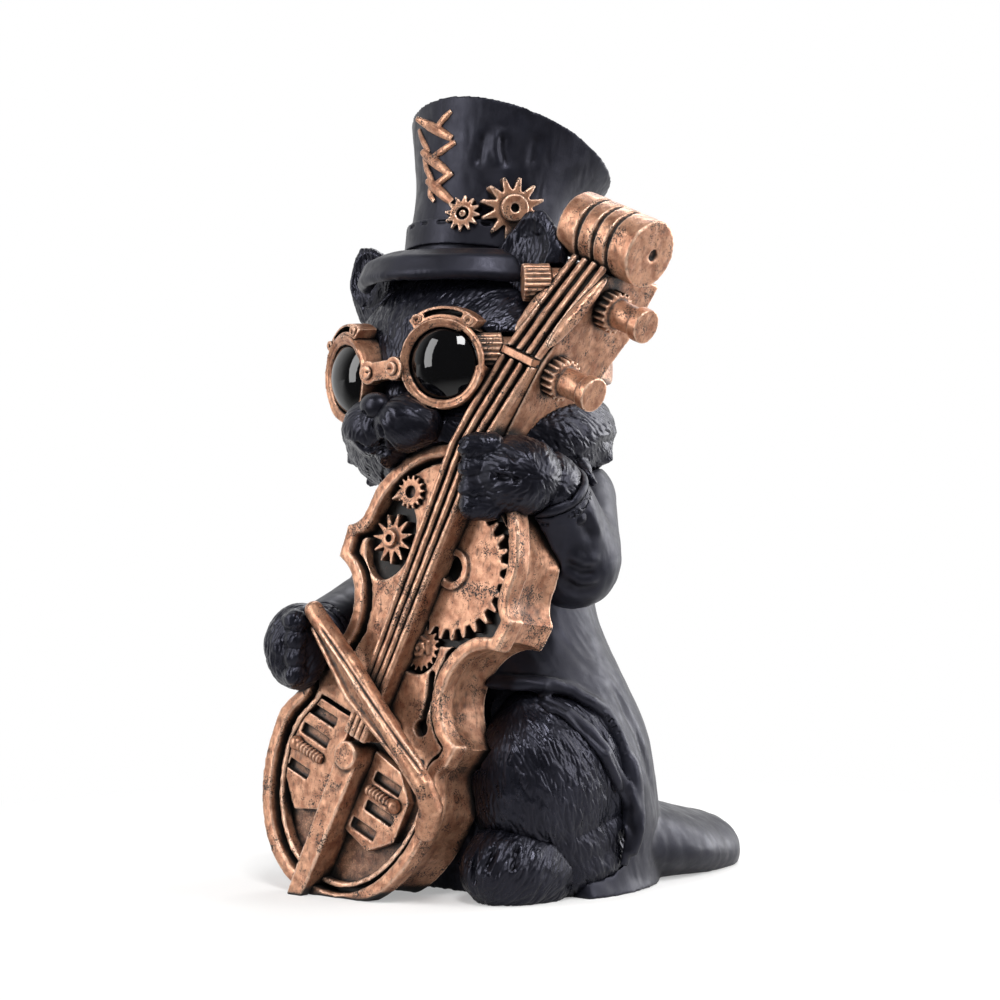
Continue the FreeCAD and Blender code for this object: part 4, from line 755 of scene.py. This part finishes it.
    def stroke(self, strokes: Strokes, flow: Flow, seed: int, where: np.ndarray | None = None) -> None:
        """Carves strokes that follow a flow.

        Args:
            strokes: their size and number.
            flow: gives the way they run at places on the skin.
            seed: which random draw.
            where: a share of the depth for every point, or None for all of it.
        """
        rng = np.random.default_rng(seed)
        tree = kdtree.KDTree(len(self.points))
        for index, point in enumerate(self.points):
            tree.insert(point, index)
        tree.balance()
        count = int(self.area() / (strokes.length * strokes.width) * strokes.cover)
        chosen = rng.integers(0, len(self.points), count)
        centres, up = self.points[chosen], self.normals[chosen]
        run = flow(centres)
        run = unit(run - up * np.sum(run * up, axis=1, keepdims=True))
        side = np.cross(up, run)
        angle = np.radians(rng.normal(0, strokes.wander, count))[:, None]
        run, side = run * np.cos(angle) + side * np.sin(angle), side * np.cos(angle) - run * np.sin(angle)
        half = strokes.length / 2 * rng.uniform(*strokes.lengths, count)
        depth = rng.uniform(*strokes.depths, count)
        bend = rng.normal(0, strokes.bend, count)
        carved = np.zeros(len(self.points))
        for index in range(count):
            found = [hit[1] for hit in tree.find_range(centres[index], half[index])]
            offset = self.points[found] - centres[index]
            forth = offset @ run[index] / half[index]
            aside = offset @ side[index] / (strokes.width / 2) + bend[index] * forth ** 2
            mark = depth[index] * (1 - forth ** 2) * np.exp(-aside ** 2)
            carved[found] = np.maximum(carved[found], mark)
        if where is not None:
            carved *= where
        self.push(carved * (strokes.depth if strokes.raised else -strokes.depth))

    def finish(self, material: bpy.types.Material, slot: Slot, rounds: int) -> None:
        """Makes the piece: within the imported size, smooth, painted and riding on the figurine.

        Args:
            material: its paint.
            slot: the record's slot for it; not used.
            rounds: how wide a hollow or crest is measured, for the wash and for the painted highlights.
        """
        self.points = np.clip(self.points, np.array(CAD_BOX[0]) / MM, np.array(CAD_BOX[1]) / MM)
        self.normals = self._normals()
        depth = self.hollow(rounds) * MM
        for name, values in (("hollow", depth), ("wash", self.wash)):
            layer = self.mesh.attributes.new(name, "FLOAT", "POINT")
            layer.data.foreach_set("value", values.astype(np.float32))
        self.mesh.polygons.foreach_set("use_smooth", [True] * len(self.mesh.polygons))
        self.mesh.materials.clear()
        self.mesh.materials.append(material)
        piece = bpy.data.objects.new(self.names[0] + "_cast", self.mesh)
        bpy.context.scene.collection.objects.link(piece)
        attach(piece, "root")
        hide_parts(*self.names)
        log.info("%s: %d faces", piece.name, len(self.mesh.polygons))


@dataclass
class Painted:
    """Castings under one paint, which is made for the first of them."""

    paint: BlackPaint | BronzePaint | LensGloss
    slot: Slot
    hollow_width: int = 6
    material: bpy.types.Material | None = None

    def finish(self, casting: Casting) -> None:
        """Paints a casting."""
        self.material = self.material or self.paint.make()
        casting.finish(self.material, self.slot, self.hollow_width)


@dataclass
class Fur(Painted):
    """Hair modelled in clay: soft locks, and fine strokes over them."""

    paint: BlackPaint = BlackPaint("fur_black_acrylic_on_resin")
    slot: Slot = Slot.FUR
    locks: Strokes = Strokes(7.5, 2.2, 0.35, 0.8, 16.0, True)
    hairs: Strokes = Strokes(4.5, 0.55, 0.31, 1.9, 11.0)
    grid: float = 0.28

    def coat_of(self, casting: Casting, flow: Flow, seed: int, where: np.ndarray | None = None) -> None:
        """Carves hair all over a casting.

        Args:
            casting: the skin.
            flow: the way the hair lies.
            seed: which random draw.
            where: a share of the depth for every point.
        """
        casting.stroke(self.locks, flow, seed, where)
        casting.stroke(self.hairs, flow, seed + 1, where)


def towards(x: float, y: float, z: float) -> Flow:
    """Hair that lies one way everywhere."""
    return lambda points: np.tile(np.array((x, y, z)), (len(points), 1))


@dataclass
class Cat:
    """The furred parts: head, ears, nose, torso, legs and paws."""

    fur: Fur
    # ovals of the picture: each a centre and half widths
    muzzle: tuple[Path, ...] = (((366, 426), (24, 28)), ((402, 426), (34, 28)))
    valley: tuple[Path, ...] = (((379, 420), (16, 20)),)
    cheeks: tuple[Path, ...] = (((617, 462), (26, 26)), ((341, 463), (22, 22)))
    oval_edge: tuple[float, float] = (1.15, 0.75)
    valley_fill: float = 1.6
    muzzle_swell: float = 0.9
    muzzle_rounds: int = 420
    muzzle_share: float = 0.85
    muzzle_bare: float = 0.45
    cheek_rounds: int = 700
    # hair starts to fall this far below the nose, over this height, by this share
    fall_from: float = 2.0
    fall_over: float = 14.0
    fall: float = 1.1
    nose_swell: float = 0.6
    ear_lean: float = 0.25
    thigh_swell: float = 1.2
    # the gap to the coat at which the thigh swells to meet it
    thigh_gap: tuple[float, float] = (6.0, 1.5)
    mouth: tuple[Line, ...] = (
        Line(((379, 424), (381, 431), (384, 438)), 0.5, -0.9, 0.1),
        Line(((384, 438), (380, 446), (372, 450), (362, 448), (354, 441)), 0.6, -1.1, 0.15),
        Line(((384, 438), (391, 448), (402, 454), (416, 455), (430, 449)), 0.6, -1.1, 0.15),
        Line(((380, 447), (383, 452)), 1.4, -1.2, 0.1),
        Line(((368, 462), (369, 472), (372, 482)), 0.6, -0.5),
        Line(((382, 464), (383, 474), (385, 484)), 0.6, -0.5),
        Line(((396, 464), (399, 474), (402, 482)), 0.6, -0.5),
        Line(((378, 388), (377, 378), (379, 366)), 0.6, -0.5),
        Line(((366, 388), (364, 378), (365, 366)), 0.6, -0.4),
        Line(((388, 388), (391, 378), (396, 368)), 0.6, -0.5))
    nostrils: tuple[Line, ...] = (
        Line(((362, 411), (364, 414), (366, 416)), 0.7, -1.0, 0.15),
        Line(((387, 410), (384, 413), (381, 415)), 0.8, -1.1, 0.15))
    left_toes: tuple[Line, ...] = (
        Line(((489, 476), (498, 477), (506, 478), (515, 480), (523, 483)), 0.8, -1.2, 0.2),
        Line(((498, 466), (507, 470), (516, 475)), 0.6, -0.6),
        Line(((500, 451), (510, 455), (520, 459)), 0.6, -0.5))
    foot_toes: tuple[Line, ...] = (
        Line(((518, 843), (516, 858), (512, 874)), 0.8, -1.1),
        Line(((496, 846), (490, 860), (484, 874)), 0.8, -1.1))

    def build(self) -> None:
        """Builds every furred piece."""
        self.head()
        self.nose()
        for side in SIDES:
            self.ear(side)
            self.leg(side)
            self.paw(side)
        self.torso()

    def head(self) -> None:
        """The head: hair spreads from the nose over skull and cheeks, with a carved mouth."""
        head = Casting(["head"], self.fur.grid, 5)
        nose = middle("nose")
        seen = EYE.seen_at(head.points)
        muzzle = self.pads(seen, self.muzzle)
        head.push(self.valley_fill * self.pads(seen, self.valley))
        head.soothe(self.muzzle_rounds, self.muzzle_share * muzzle)
        head.push(self.muzzle_swell * muzzle)
        head.soothe(self.cheek_rounds, self.pads(seen, self.cheeks))

        def flow(points: np.ndarray) -> np.ndarray:
            """Hair that spreads from the nose and falls below it."""
            way = unit(points - nose)
            low = np.clip((nose[2] - self.fall_from - points[:, 2]) / self.fall_over, 0, 1)
            way[:, 2] -= low * self.fall
            return way
        self.fur.coat_of(head, flow, Seed.HEAD, 1 - self.muzzle_bare * muzzle)
        head.draw(self.mouth)
        self.fur.finish(head)

    def pads(self, seen: np.ndarray, ovals: Sequence[Path]) -> np.ndarray:
        """How much points belong to ovals of the picture.

        Args:
            seen: where the points appear in the picture.
            ovals: the centre and half widths of each.

        Returns:
            A share from 0 to 1 for each point.
        """
        away = [np.hypot((seen[:, 0] - centre[0]) / half[0], (seen[:, 1] - centre[1]) / half[1])
                for centre, half in ovals]
        return np.max([step(one, *self.oval_edge) for one in away], axis=0)

    def nose(self) -> None:
        """The nose leather with its two nostrils."""
        nose = Casting(["nose"], 0.20, 24)
        nose.push(self.nose_swell)
        nose.draw(self.nostrils)
        self.fur.finish(nose)

    def ear(self, side: str) -> None:
        """An ear with hair that runs up to its tip."""
        ear = Casting([f"ear_{side}"], 0.30, 4)
        lean = self.ear_lean if side == "left" else -self.ear_lean
        self.fur.coat_of(ear, towards(lean, 0.1, 1.0), Seed.EAR)
        self.fur.finish(ear)

    def leg(self, side: str) -> None:
        """A thigh whose hair runs back and down, and a foot with toes."""
        seed = Seed.LEG_LEFT if side == "left" else Seed.LEG_RIGHT
        thigh = Casting([f"thigh_{side}"], self.fur.grid, 4)
        thigh.push(self.thigh_swell * step(thigh.gap_to("coat"), *self.thigh_gap))
        self.fur.coat_of(thigh, towards(0.0, 0.45, -1.0), seed)
        self.fur.finish(thigh)
        foot = Casting([f"foot_{side}"], self.fur.grid, 6)
        self.fur.coat_of(foot, towards(0.0, -0.7, -1.0), seed + 3)
        foot.draw(self.foot_toes)
        self.fur.finish(foot)

    def paw(self, side: str) -> None:
        """A paw with creases between its toes."""
        paw = Casting([f"paw_{side}"], self.fur.grid, 8)
        way = towards(-1.0, 0.3, 0.0) if side == "left" else towards(0.3, 0.6, 1.0)
        self.fur.coat_of(paw, way, Seed.PAW)
        if side == "left":
            paw.draw(self.left_toes)
        self.fur.finish(paw)

    def torso(self) -> None:
        """The body inside the coat."""
        torso = Casting(["torso"], 0.6, 3)
        torso.stroke(self.fur.hairs, towards(0.0, 0.0, -1.0), Seed.TORSO)
        self.fur.finish(torso)


@dataclass
class Clothes(Painted):
    """The tail coat with its sleeves and cuffs, and the hat."""

    paint: BlackPaint = BlackPaint("cloth_black_acrylic_on_resin", "#07070a", "#191a22", (0.36, 0.52),
                                   brush=Grain(0.9), brush_height=0.05, edge=(0.12, -0.06))
    slot: Slot = Slot.COAT
    hollow_width: int = 10
    grid: float = 0.40
    fine_lumps: float = 0.06
    # how far the hem bands and the brim stand out
    band_lift: float = 0.6
    brim_swell: float = 0.55
    coat_brush: Strokes = Strokes(16.0, 2.6, 0.16, 0.9, 9.0)
    sleeve_brush: Strokes = Strokes(9.0, 1.8, 0.10, 0.8, 14.0)
    crown_brush: Strokes = Strokes(9.0, 1.6, 0.08, 0.7, 10.0)
    bands: tuple[Strap, ...] = (
        Strap(((484, 680), (515, 683), (545, 685), (570, 690), (590, 702), (606, 720), (620, 742), (630, 770),
               (636, 800), (638, 828), (632, 856)), 2.7, 2.0, 1.5),
        Strap(((488, 690), (515, 693), (544, 701), (567, 712), (588, 732), (605, 753), (617, 778),
               (626, 806), (629, 836), (624, 866)), 2.3, 1.3, 1.5))
    hem: tuple[Line, ...] = (
        Line(((500, 679), (544, 686), (569, 698), (600, 733), (619, 761), (632, 796), (641, 818)),
             0.9, 0.7, 0.1),
        Line(((495, 694), (522, 700), (550, 711), (569, 727), (585, 742), (607, 755), (619, 783), (629, 812)),
             0.9, 0.7, 0.1),
        Line(((498, 687), (530, 693), (560, 705), (584, 730), (604, 748), (620, 774), (634, 812)),
             0.9, -0.6, 0.1))
    folds: tuple[Line, ...] = (
        Line(((591, 686), (613, 727), (629, 761), (638, 808)), 2.2, 0.9),
        Line(((555, 659), (579, 696), (600, 739), (624, 781), (643, 835)), 1.6, 0.5),
        Line(((606, 676), (628, 716), (646, 760), (656, 812)), 1.8, -0.8),
        Line(((640, 600), (656, 640), (668, 680), (690, 760)), 2.6, 1.0),
        Line(((660, 590), (678, 640), (692, 690), (712, 750)), 2.2, -0.8),
        Line(((650, 770), (676, 782), (700, 790), (730, 806)), 2.4, 0.9),
        Line(((600, 560), (616, 590), (632, 620)), 2.0, -0.6))
    elbow: tuple[Line, ...] = (
        Line(((562, 560), (580, 572), (598, 570)), 1.6, -0.8),
        Line(((566, 552), (584, 562), (602, 558)), 1.5, 0.6),
        Line(((560, 578), (580, 590), (604, 584)), 1.5, -0.8),
        Line(((562, 569), (582, 581), (602, 577)), 1.4, 0.6),
        Line(((566, 500), (584, 520), (594, 545)), 1.8, -0.6),
        Line(((574, 494), (592, 514), (603, 540)), 1.6, 0.5))
    cuff_creases: tuple[Line, ...] = (
        Line(((556, 455), (562, 470), (562, 485), (557, 500), (550, 515)), 0.7, -0.6),
        Line(((566, 460), (573, 470), (574, 480), (571, 498), (565, 515)), 0.7, -0.5))
    dents: tuple[Line, ...] = (
        Line(((484, 128), (481, 150), (478, 170)), 1.1, -0.7),
        Line(((497, 126), (496, 148), (500, 168)), 1.1, 0.5),
        Line(((503, 130), (502, 150), (507, 170)), 1.0, -0.6),
        Line(((540, 130), (534, 150), (530, 172)), 1.4, -0.5))

    def uneven(self, casting: Casting, seed: int, height: float, size: float) -> None:
        """Gives hand-modelled cloth its slow unevenness, with finer lumps a quarter of the size."""
        fine = self.fine_lumps * lumps(casting.points, size / 4, seed + 1)
        casting.push(height * lumps(casting.points, size, seed) + fine)

    def build(self) -> None:
        """Builds every piece of cloth."""
        self.coat()
        for side in SIDES:
            self.sleeve(side)
        self.hat()

    def coat(self) -> None:
        """The coat: soft folds down its back and a turned hem over the left thigh."""
        under = Casting(["coat", "thigh_left"], 0.8, 8)
        under.push(self.band_lift)
        coat = Casting(["coat"], self.grid, 14, under.straps(self.bands, 0.0))
        self.uneven(coat, Seed.COAT, 0.35, 12.0)
        coat.stroke(self.coat_brush, towards(0.0, 0.3, -1.0), Seed.COAT_BRUSH)
        coat.draw(self.hem + self.folds)
        self.finish(coat)

    def sleeve(self, side: str) -> None:
        """A sleeve and its cuff."""
        sleeve = Casting([f"sleeve_{side}"], 0.45, 8)
        self.uneven(sleeve, Seed.SLEEVE, 0.22, 9.0)
        sleeve.stroke(self.sleeve_brush, towards(0.2, 0.3, -1.0), Seed.SLEEVE_BRUSH)
        if side == "left":
            sleeve.draw(self.elbow)
        self.finish(sleeve)
        cuff = Casting([f"cuff_{side}"], 0.30, 5)
        self.uneven(cuff, Seed.CUFF, 0.12, 4.0)
        if side == "left":
            cuff.draw(self.cuff_creases)
        self.finish(cuff)

    def hat(self) -> None:
        """The crown with its dents, the band and the rolled brim."""
        crown = Casting(["hat_crown"], 0.32, 9)
        self.uneven(crown, Seed.CROWN, 0.25, 10.0)
        crown.stroke(self.crown_brush, towards(0.0, 0.0, -1.0), Seed.CROWN_BRUSH)
        crown.draw(self.dents)
        self.finish(crown)
        self.finish(Casting(["hat_band"], 0.25, 4))
        brim = Casting(["hat_brim"], 0.34, 20)
        brim.push(self.brim_swell)
        self.uneven(brim, Seed.BRIM, 0.30, 12.0)
        self.finish(brim)


@dataclass(frozen=True)
class Mould:
    """How parts are cast in bronze: mesh size, rounds of softening and depth of pits, for each name."""

    grid: float
    soften: int
    pitting: float
    names: tuple[str, ...]


@dataclass
class Bronzes(Painted):
    """Everything in copper-bronze: cello, bow, goggles and the hat's ornaments."""

    paint: BronzePaint = BronzePaint("copper_bronze_paint_over_black")
    slot: Slot = Slot.BRONZE
    # the cello's own frame: how it leans to the side and back, and where its foot stands
    lean: float = 22.25
    tilt: float = 6.9
    foot: tuple[float, float, float] = (-23.7, -50.4, 0.0)
    # the strings: from where to where along the cello, how far spread at each end, in lanes
    board_start: float = 38.5
    nut_at: float = 129.8
    spread: tuple[float, float] = (4.9, 8.4)
    lanes: int = 3
    # a face counts as front or as side by how far its normal turns to the front
    facing: tuple[float, float] = (0.3, 0.7)
    side_on: tuple[float, float] = (0.6, 0.3)
    rib_depth: float = 15.0
    rib_scoop: float = 1.5
    well_floor: tuple[float, float] = (-5.0, -3.6)
    well_wash: float = 0.9
    # the lower well is washed less than the upper one
    low_well: tuple[float, float] = (42.0, 34.0)
    low_less: float = 0.4
    ridge_height: float = 0.30
    ridge_sink: float = 0.22
    groove: tuple[float, float] = (0.55, 0.15)
    string_swell: tuple[float, float] = (0.14, 0.10)
    gear_swell: float = 0.14
    nut_sink: float = 0.35
    # lumps of the pits and of the slower waves, in millimetres
    pits: float = 1.3
    waves: float = 4.5
    string_waves: float = 3.2
    rim_waves: float = 3.0
    rim_pitting: tuple[float, float] = (0.08, 0.14)
    lace_pitting: float = 0.04
    first: tuple[Mould, ...] = (
        Mould(0.34, 70, 0.07, ("cello_body",)),
        Mould(0.30, 24, 0.07, ("cello_rim",)),
        Mould(0.30, 10, 0.07, ("cello_panel", "neck_pegbox", "scroll", "tailpiece")),
        Mould(0.24, 3, 0.05, ("main_gear", "fingerboard", "grille_left", "grille_right", "bow_stick",
                              "bow_hair")),
        *(mould for one in "1234" for mould in (Mould(0.24, 4, 0.05, (f"tuning_peg_{one}",)),
                                                Mould(0.20, 3, 0.05, (f"string_{one}",)))),
        Mould(0.18, 3, 0.03, ("petal_gear", "small_gear", "lower_gear", "threaded_rods", "nut", "bridge")),
        Mould(0.20, 3, 0.04, ("hat_gear_large", "hat_gear_small", "hat_gear_hub", "hat_gear_pin")))
    last: tuple[Mould, ...] = (
        Mould(0.20, 3, 0.04, ("goggle_bracket_left", "goggle_bracket_right", "goggle_bridge",
                              "bridge_screws", "bracket_rivets")),
        Mould(0.30, 4, 0.06, ("goggle_strap",)))
    engraving: tuple[Line, ...] = (
        Line(((316, 622), (345, 664), (372, 704), (400, 742), (426, 776)), 0.45, -0.6, 0.1),)
    laces: tuple[Strap, ...] = (
        Strap(((418, 119), (430, 126), (441, 132), (453, 139)), 1.30, 0.85),
        Strap(((423, 152), (431, 159), (440, 166), (450, 174)), 1.30, 0.85),
        Strap(((428, 181), (436, 188), (444, 195), (453, 203)), 1.30, 0.85),
        Strap(((435, 131), (443, 121), (452, 111)), 0.95, 0.70),
        Strap(((431, 159), (443, 151), (456, 142)), 0.95, 0.70),
        Strap(((432, 188), (442, 181), (453, 173)), 0.95, 0.70),
        Strap(((420, 130), (424, 141), (430, 153)), 0.95, 0.70),
        Strap(((425, 158), (428, 170), (434, 183)), 0.95, 0.70),
        Strap(((430, 188), (431, 195), (435, 202)), 0.80, 0.60))

    def cast(self, mould: Mould) -> None:
        """Bronze pieces with softened edges and slightly pitted faces."""
        for name in mould.names:
            casting = Casting([name], mould.grid, mould.soften)
            self.shape(casting, name)
            casting.push(mould.pitting * lumps(casting.points, self.pits, Seed.PITS)
                         + mould.pitting * lumps(casting.points, self.waves, Seed.WAVES))
            self.finish(casting)

    def on_cello(self, points: np.ndarray) -> np.ndarray:
        """Places in the cello's own frame: across it, up along it and out of its front."""
        side, back = math.radians(self.lean), math.radians(self.tilt)
        along = np.array((math.sin(side) * math.cos(back), math.sin(back), math.cos(side) * math.cos(back)))
        across = unit(np.array((math.cos(side), 0.0, -math.sin(side))))
        across = unit(across - along * (across @ along))
        away = points - np.array(self.foot)
        return np.stack((away @ across, away @ along, away @ np.cross(across, along)), axis=1)

    def shape(self, casting: Casting, name: str) -> None:
        """What the modelling tool and the wash do to one bronze piece.

        Args:
            casting: its skin.
            name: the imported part.
        """
        own = self.on_cello(casting.points)
        front = self.on_cello(casting.points + casting.normals)[:, 2] - own[:, 2]
        foot, nut = self.spread
        share = np.clip((own[:, 1] - self.board_start) / (self.nut_at - self.board_start), 0, 1)
        lane = (own[:, 0] / (foot + (nut - foot) * share) + 0.5) * self.lanes
        if name == "cello_body":
            ribs = np.clip(-own[:, 2] / self.rib_depth, 0, 1)
            well = self.well_wash - self.low_less * step(own[:, 1], *self.low_well)
            casting.wash = step(front, *self.facing) * step(own[:, 2], *self.well_floor) * well
            casting.push(-self.rib_scoop * np.sin(np.pi * ribs) * step(np.abs(front), *self.side_on))
        elif name == "bow_stick":
            casting.draw(self.engraving)
        elif name == "nut":
            casting.push(-self.nut_sink)
        elif name == "fingerboard":
            # two ridges run along each lane between two strings
            ridges = 0.5 + 0.5 * np.cos(2 * np.pi * lane * 2)
            casting.wash = step(front, *self.facing) * step(ridges, *self.groove)
            casting.push(step(front, *self.facing) * (self.ridge_height * ridges - self.ridge_sink))
        elif name.startswith("string"):
            even, wave = self.string_swell
            casting.push(even + wave * lumps(casting.points, self.string_waves, Seed.STRINGS))
        elif name.startswith("hat_gear"):
            casting.push(self.gear_swell)

    def lacing(self) -> None:
        """The lacing: nine flat straps that cross on the hat's crown."""
        straps = Casting(["hat_crown"], 0.45, 9).straps(self.laces)
        lacing = Casting(["hat_lacing"], 0.18, 2, straps, False)
        lacing.push(self.lace_pitting * lumps(lacing.points, self.pits, Seed.PITS))
        self.finish(lacing)

    def rim(self, piece: Eyepiece) -> None:
        """A goggle rim with its whole outer bead, worn more than the small parts."""
        rim = Casting([f"goggle_rim_{piece.side}"], 0.20, 4, (piece.bead(),))
        pits, waves = self.rim_pitting
        rim.push(pits * lumps(rim.points, self.pits, Seed.PITS)
                 + waves * lumps(rim.points, self.rim_waves, Seed.WAVES))
        self.finish(rim)

    def build(self) -> None:
        """Builds every bronze piece."""
        for mould in self.first:
            self.cast(mould)
        self.lacing()
        for piece in EYEPIECES:
            self.rim(piece)
        for mould in self.last:
            self.cast(mould)


@dataclass
class Lenses(Painted):
    """The two glossy lenses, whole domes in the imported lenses' places."""

    paint: LensGloss = LensGloss("lens_black_enamel_under_varnish")
    slot: Slot = Slot.LENS

    def build(self) -> None:
        """Builds both lenses."""
        for piece in EYEPIECES:
            self.finish(Casting([f"lens_{piece.side}"], 0.20, 12, (piece.lens(),), False))


@dataclass(frozen=True)
class Lamp:
    """A soft box that faces the figurine.

    Its bearing counts in degrees round from the camera to its right, its rise in degrees above the level,
    its size is width and height in millimetres, and its power is in watts.
    """

    name: str
    bearing: float
    rise: float
    distance: float
    size: tuple[float, float]
    power: float

    def build(self) -> None:
        """Adds the light."""
        data = bpy.data.lights.new(self.name, "AREA")
        data.shape = "RECTANGLE"
        data.size, data.size_y = self.size[0] * MM, self.size[1] * MM
        data.energy = self.power
        lamp = bpy.data.objects.new(self.name, data)
        turn, lift = math.radians(EYE.bearing + self.bearing), math.radians(self.rise)
        out = Vector((math.sin(turn) * math.cos(lift), -math.cos(turn) * math.cos(lift), math.sin(lift)))
        lamp.location = Vector((*EYE.centre, EYE.height)) * MM + out * self.distance * MM
        lamp.rotation_euler = out.to_track_quat("Z", "Y").to_euler()
        bpy.context.scene.collection.objects.link(lamp)


@dataclass
class Studio:
    """A pale floor and soft lights."""

    floor_colour: str = "#f4f3f2"
    floor_size: float = 6000.0
    # the floor turns from lit to plain white between these distances
    floor_fade: tuple[float, float] = (70.0, 210.0)
    near_white: float = 0.35
    # mirrored, floor and sweep brighten towards the back over these spans, from the room's light
    floor_behind: tuple[float, float] = (-60.0, 160.0)
    sweep_behind: tuple[float, float] = (-0.15, 0.55)
    room: float = 0.10
    ambient: float = 0.34
    lamps: tuple[Lamp, ...] = (
        Lamp("left_strip", -68.0, 18.0, 800.0, (260.0, 800.0), 4.2),
        Lamp("right_strip", 72.0, 20.0, 800.0, (260.0, 800.0), 4.2),
        Lamp("right_back", 118.0, 14.0, 800.0, (420.0, 700.0), 5.0),
        Lamp("front_top", 6.0, 48.0, 800.0, (200.0, 260.0), 3.4),
        Lamp("back_top", 170.0, 50.0, 900.0, (400.0, 400.0), 2.6))

    def floor(self) -> None:
        """The floor: it takes the shadow, and away from the figurine it is seen as plain white."""
        mesh = bpy.data.meshes.new("floor")
        half = self.floor_size / 2 * MM
        corners = [(-half, -half, 0), (half, -half, 0), (half, half, 0), (-half, half, 0)]
        mesh.from_pydata(corners, [], [(0, 1, 2, 3)])
        floor = bpy.data.objects.new("floor", mesh)
        bpy.context.scene.collection.objects.link(floor)
        material, tree = new_material("pale_floor")
        place = node(tree, "NewGeometry", out="Position")
        away = node(tree, "VectorMath", (place,), "Value", operation="LENGTH")
        fade = soft(tree, away, *real(self.floor_fade), self.near_white, 1.0)
        share = times(tree, fade, self.seen(tree))
        lit = node(tree, "BsdfDiffuse", {"Color": linear(self.floor_colour)})
        shown = self.white(tree, place, real(self.floor_behind))
        white = node(tree, "Emission", {"Color": WHITE, "Strength": shown})
        node(tree, "OutputMaterial", {"Surface": node(tree, "MixShader", (share, lit, white))})
        mesh.materials.append(material)

    def white(self, tree: Tree, way: Socket, span: Sequence[float]) -> Socket:
        """How white the surround is: all of it seen straight, and in a mirror only what lies behind.

        Args:
            tree: the node tree.
            way: a place or a direction.
            span: how far back, along the view, it starts to brighten and is white.

        Returns:
            Its brightness.
        """
        behind = node(tree, "VectorMath", (way, tuple(EYE.forward())), "Value", operation="DOT_PRODUCT")
        behind = soft(tree, behind, *span, self.room, 1.0)
        straight = node(tree, "LightPath", out="Is Camera Ray")
        return node(tree, "Math", (straight, behind), operation="MAXIMUM")

    def seen(self, tree: Tree) -> Socket:
        """Whether a ray shows the surround: straight to the eye, mirrored or through glass."""
        seen = node(tree, "LightPath", out="Is Camera Ray")
        for name in ("Is Glossy Ray", "Is Transmission Ray"):
            seen = node(tree, "Math", (seen, node(tree, "LightPath", out=name)), operation="MAXIMUM")
        return seen

    def world(self) -> None:
        """A white sweep behind the figurine and a dim room before it, seen as white all round."""
        world = bpy.data.worlds.new("surround")
        bpy.context.scene.world = world
        world.use_nodes = True
        tree = world.node_tree
        tree.nodes.clear()
        shown = self.white(tree, node(tree, "TexCoord", out="Generated"), self.sweep_behind)
        soft = node(tree, "Background", {"Color": WHITE, "Strength": self.ambient})
        white = node(tree, "Background", {"Color": WHITE, "Strength": shown})
        node(tree, "OutputWorld", {"Surface": node(tree, "MixShader", (self.seen(tree), soft, white))})

    def build(self) -> None:
        """Builds the floor, the surround and the lights."""
        self.floor()
        self.world()
        for lamp in self.lamps:
            lamp.build()


def main() -> None:
    """Builds the scene in order and reports each piece."""
    logging.basicConfig(level=logging.INFO, format="%(message)s")
    bpy.context.scene.view_settings.view_transform = "Standard"
    EYE.set_up()
    Studio().build()
    Cat(Fur()).build()
    Clothes().build()
    Bronzes().build()
    Lenses().build()


if __name__ == "__main__":
    main()
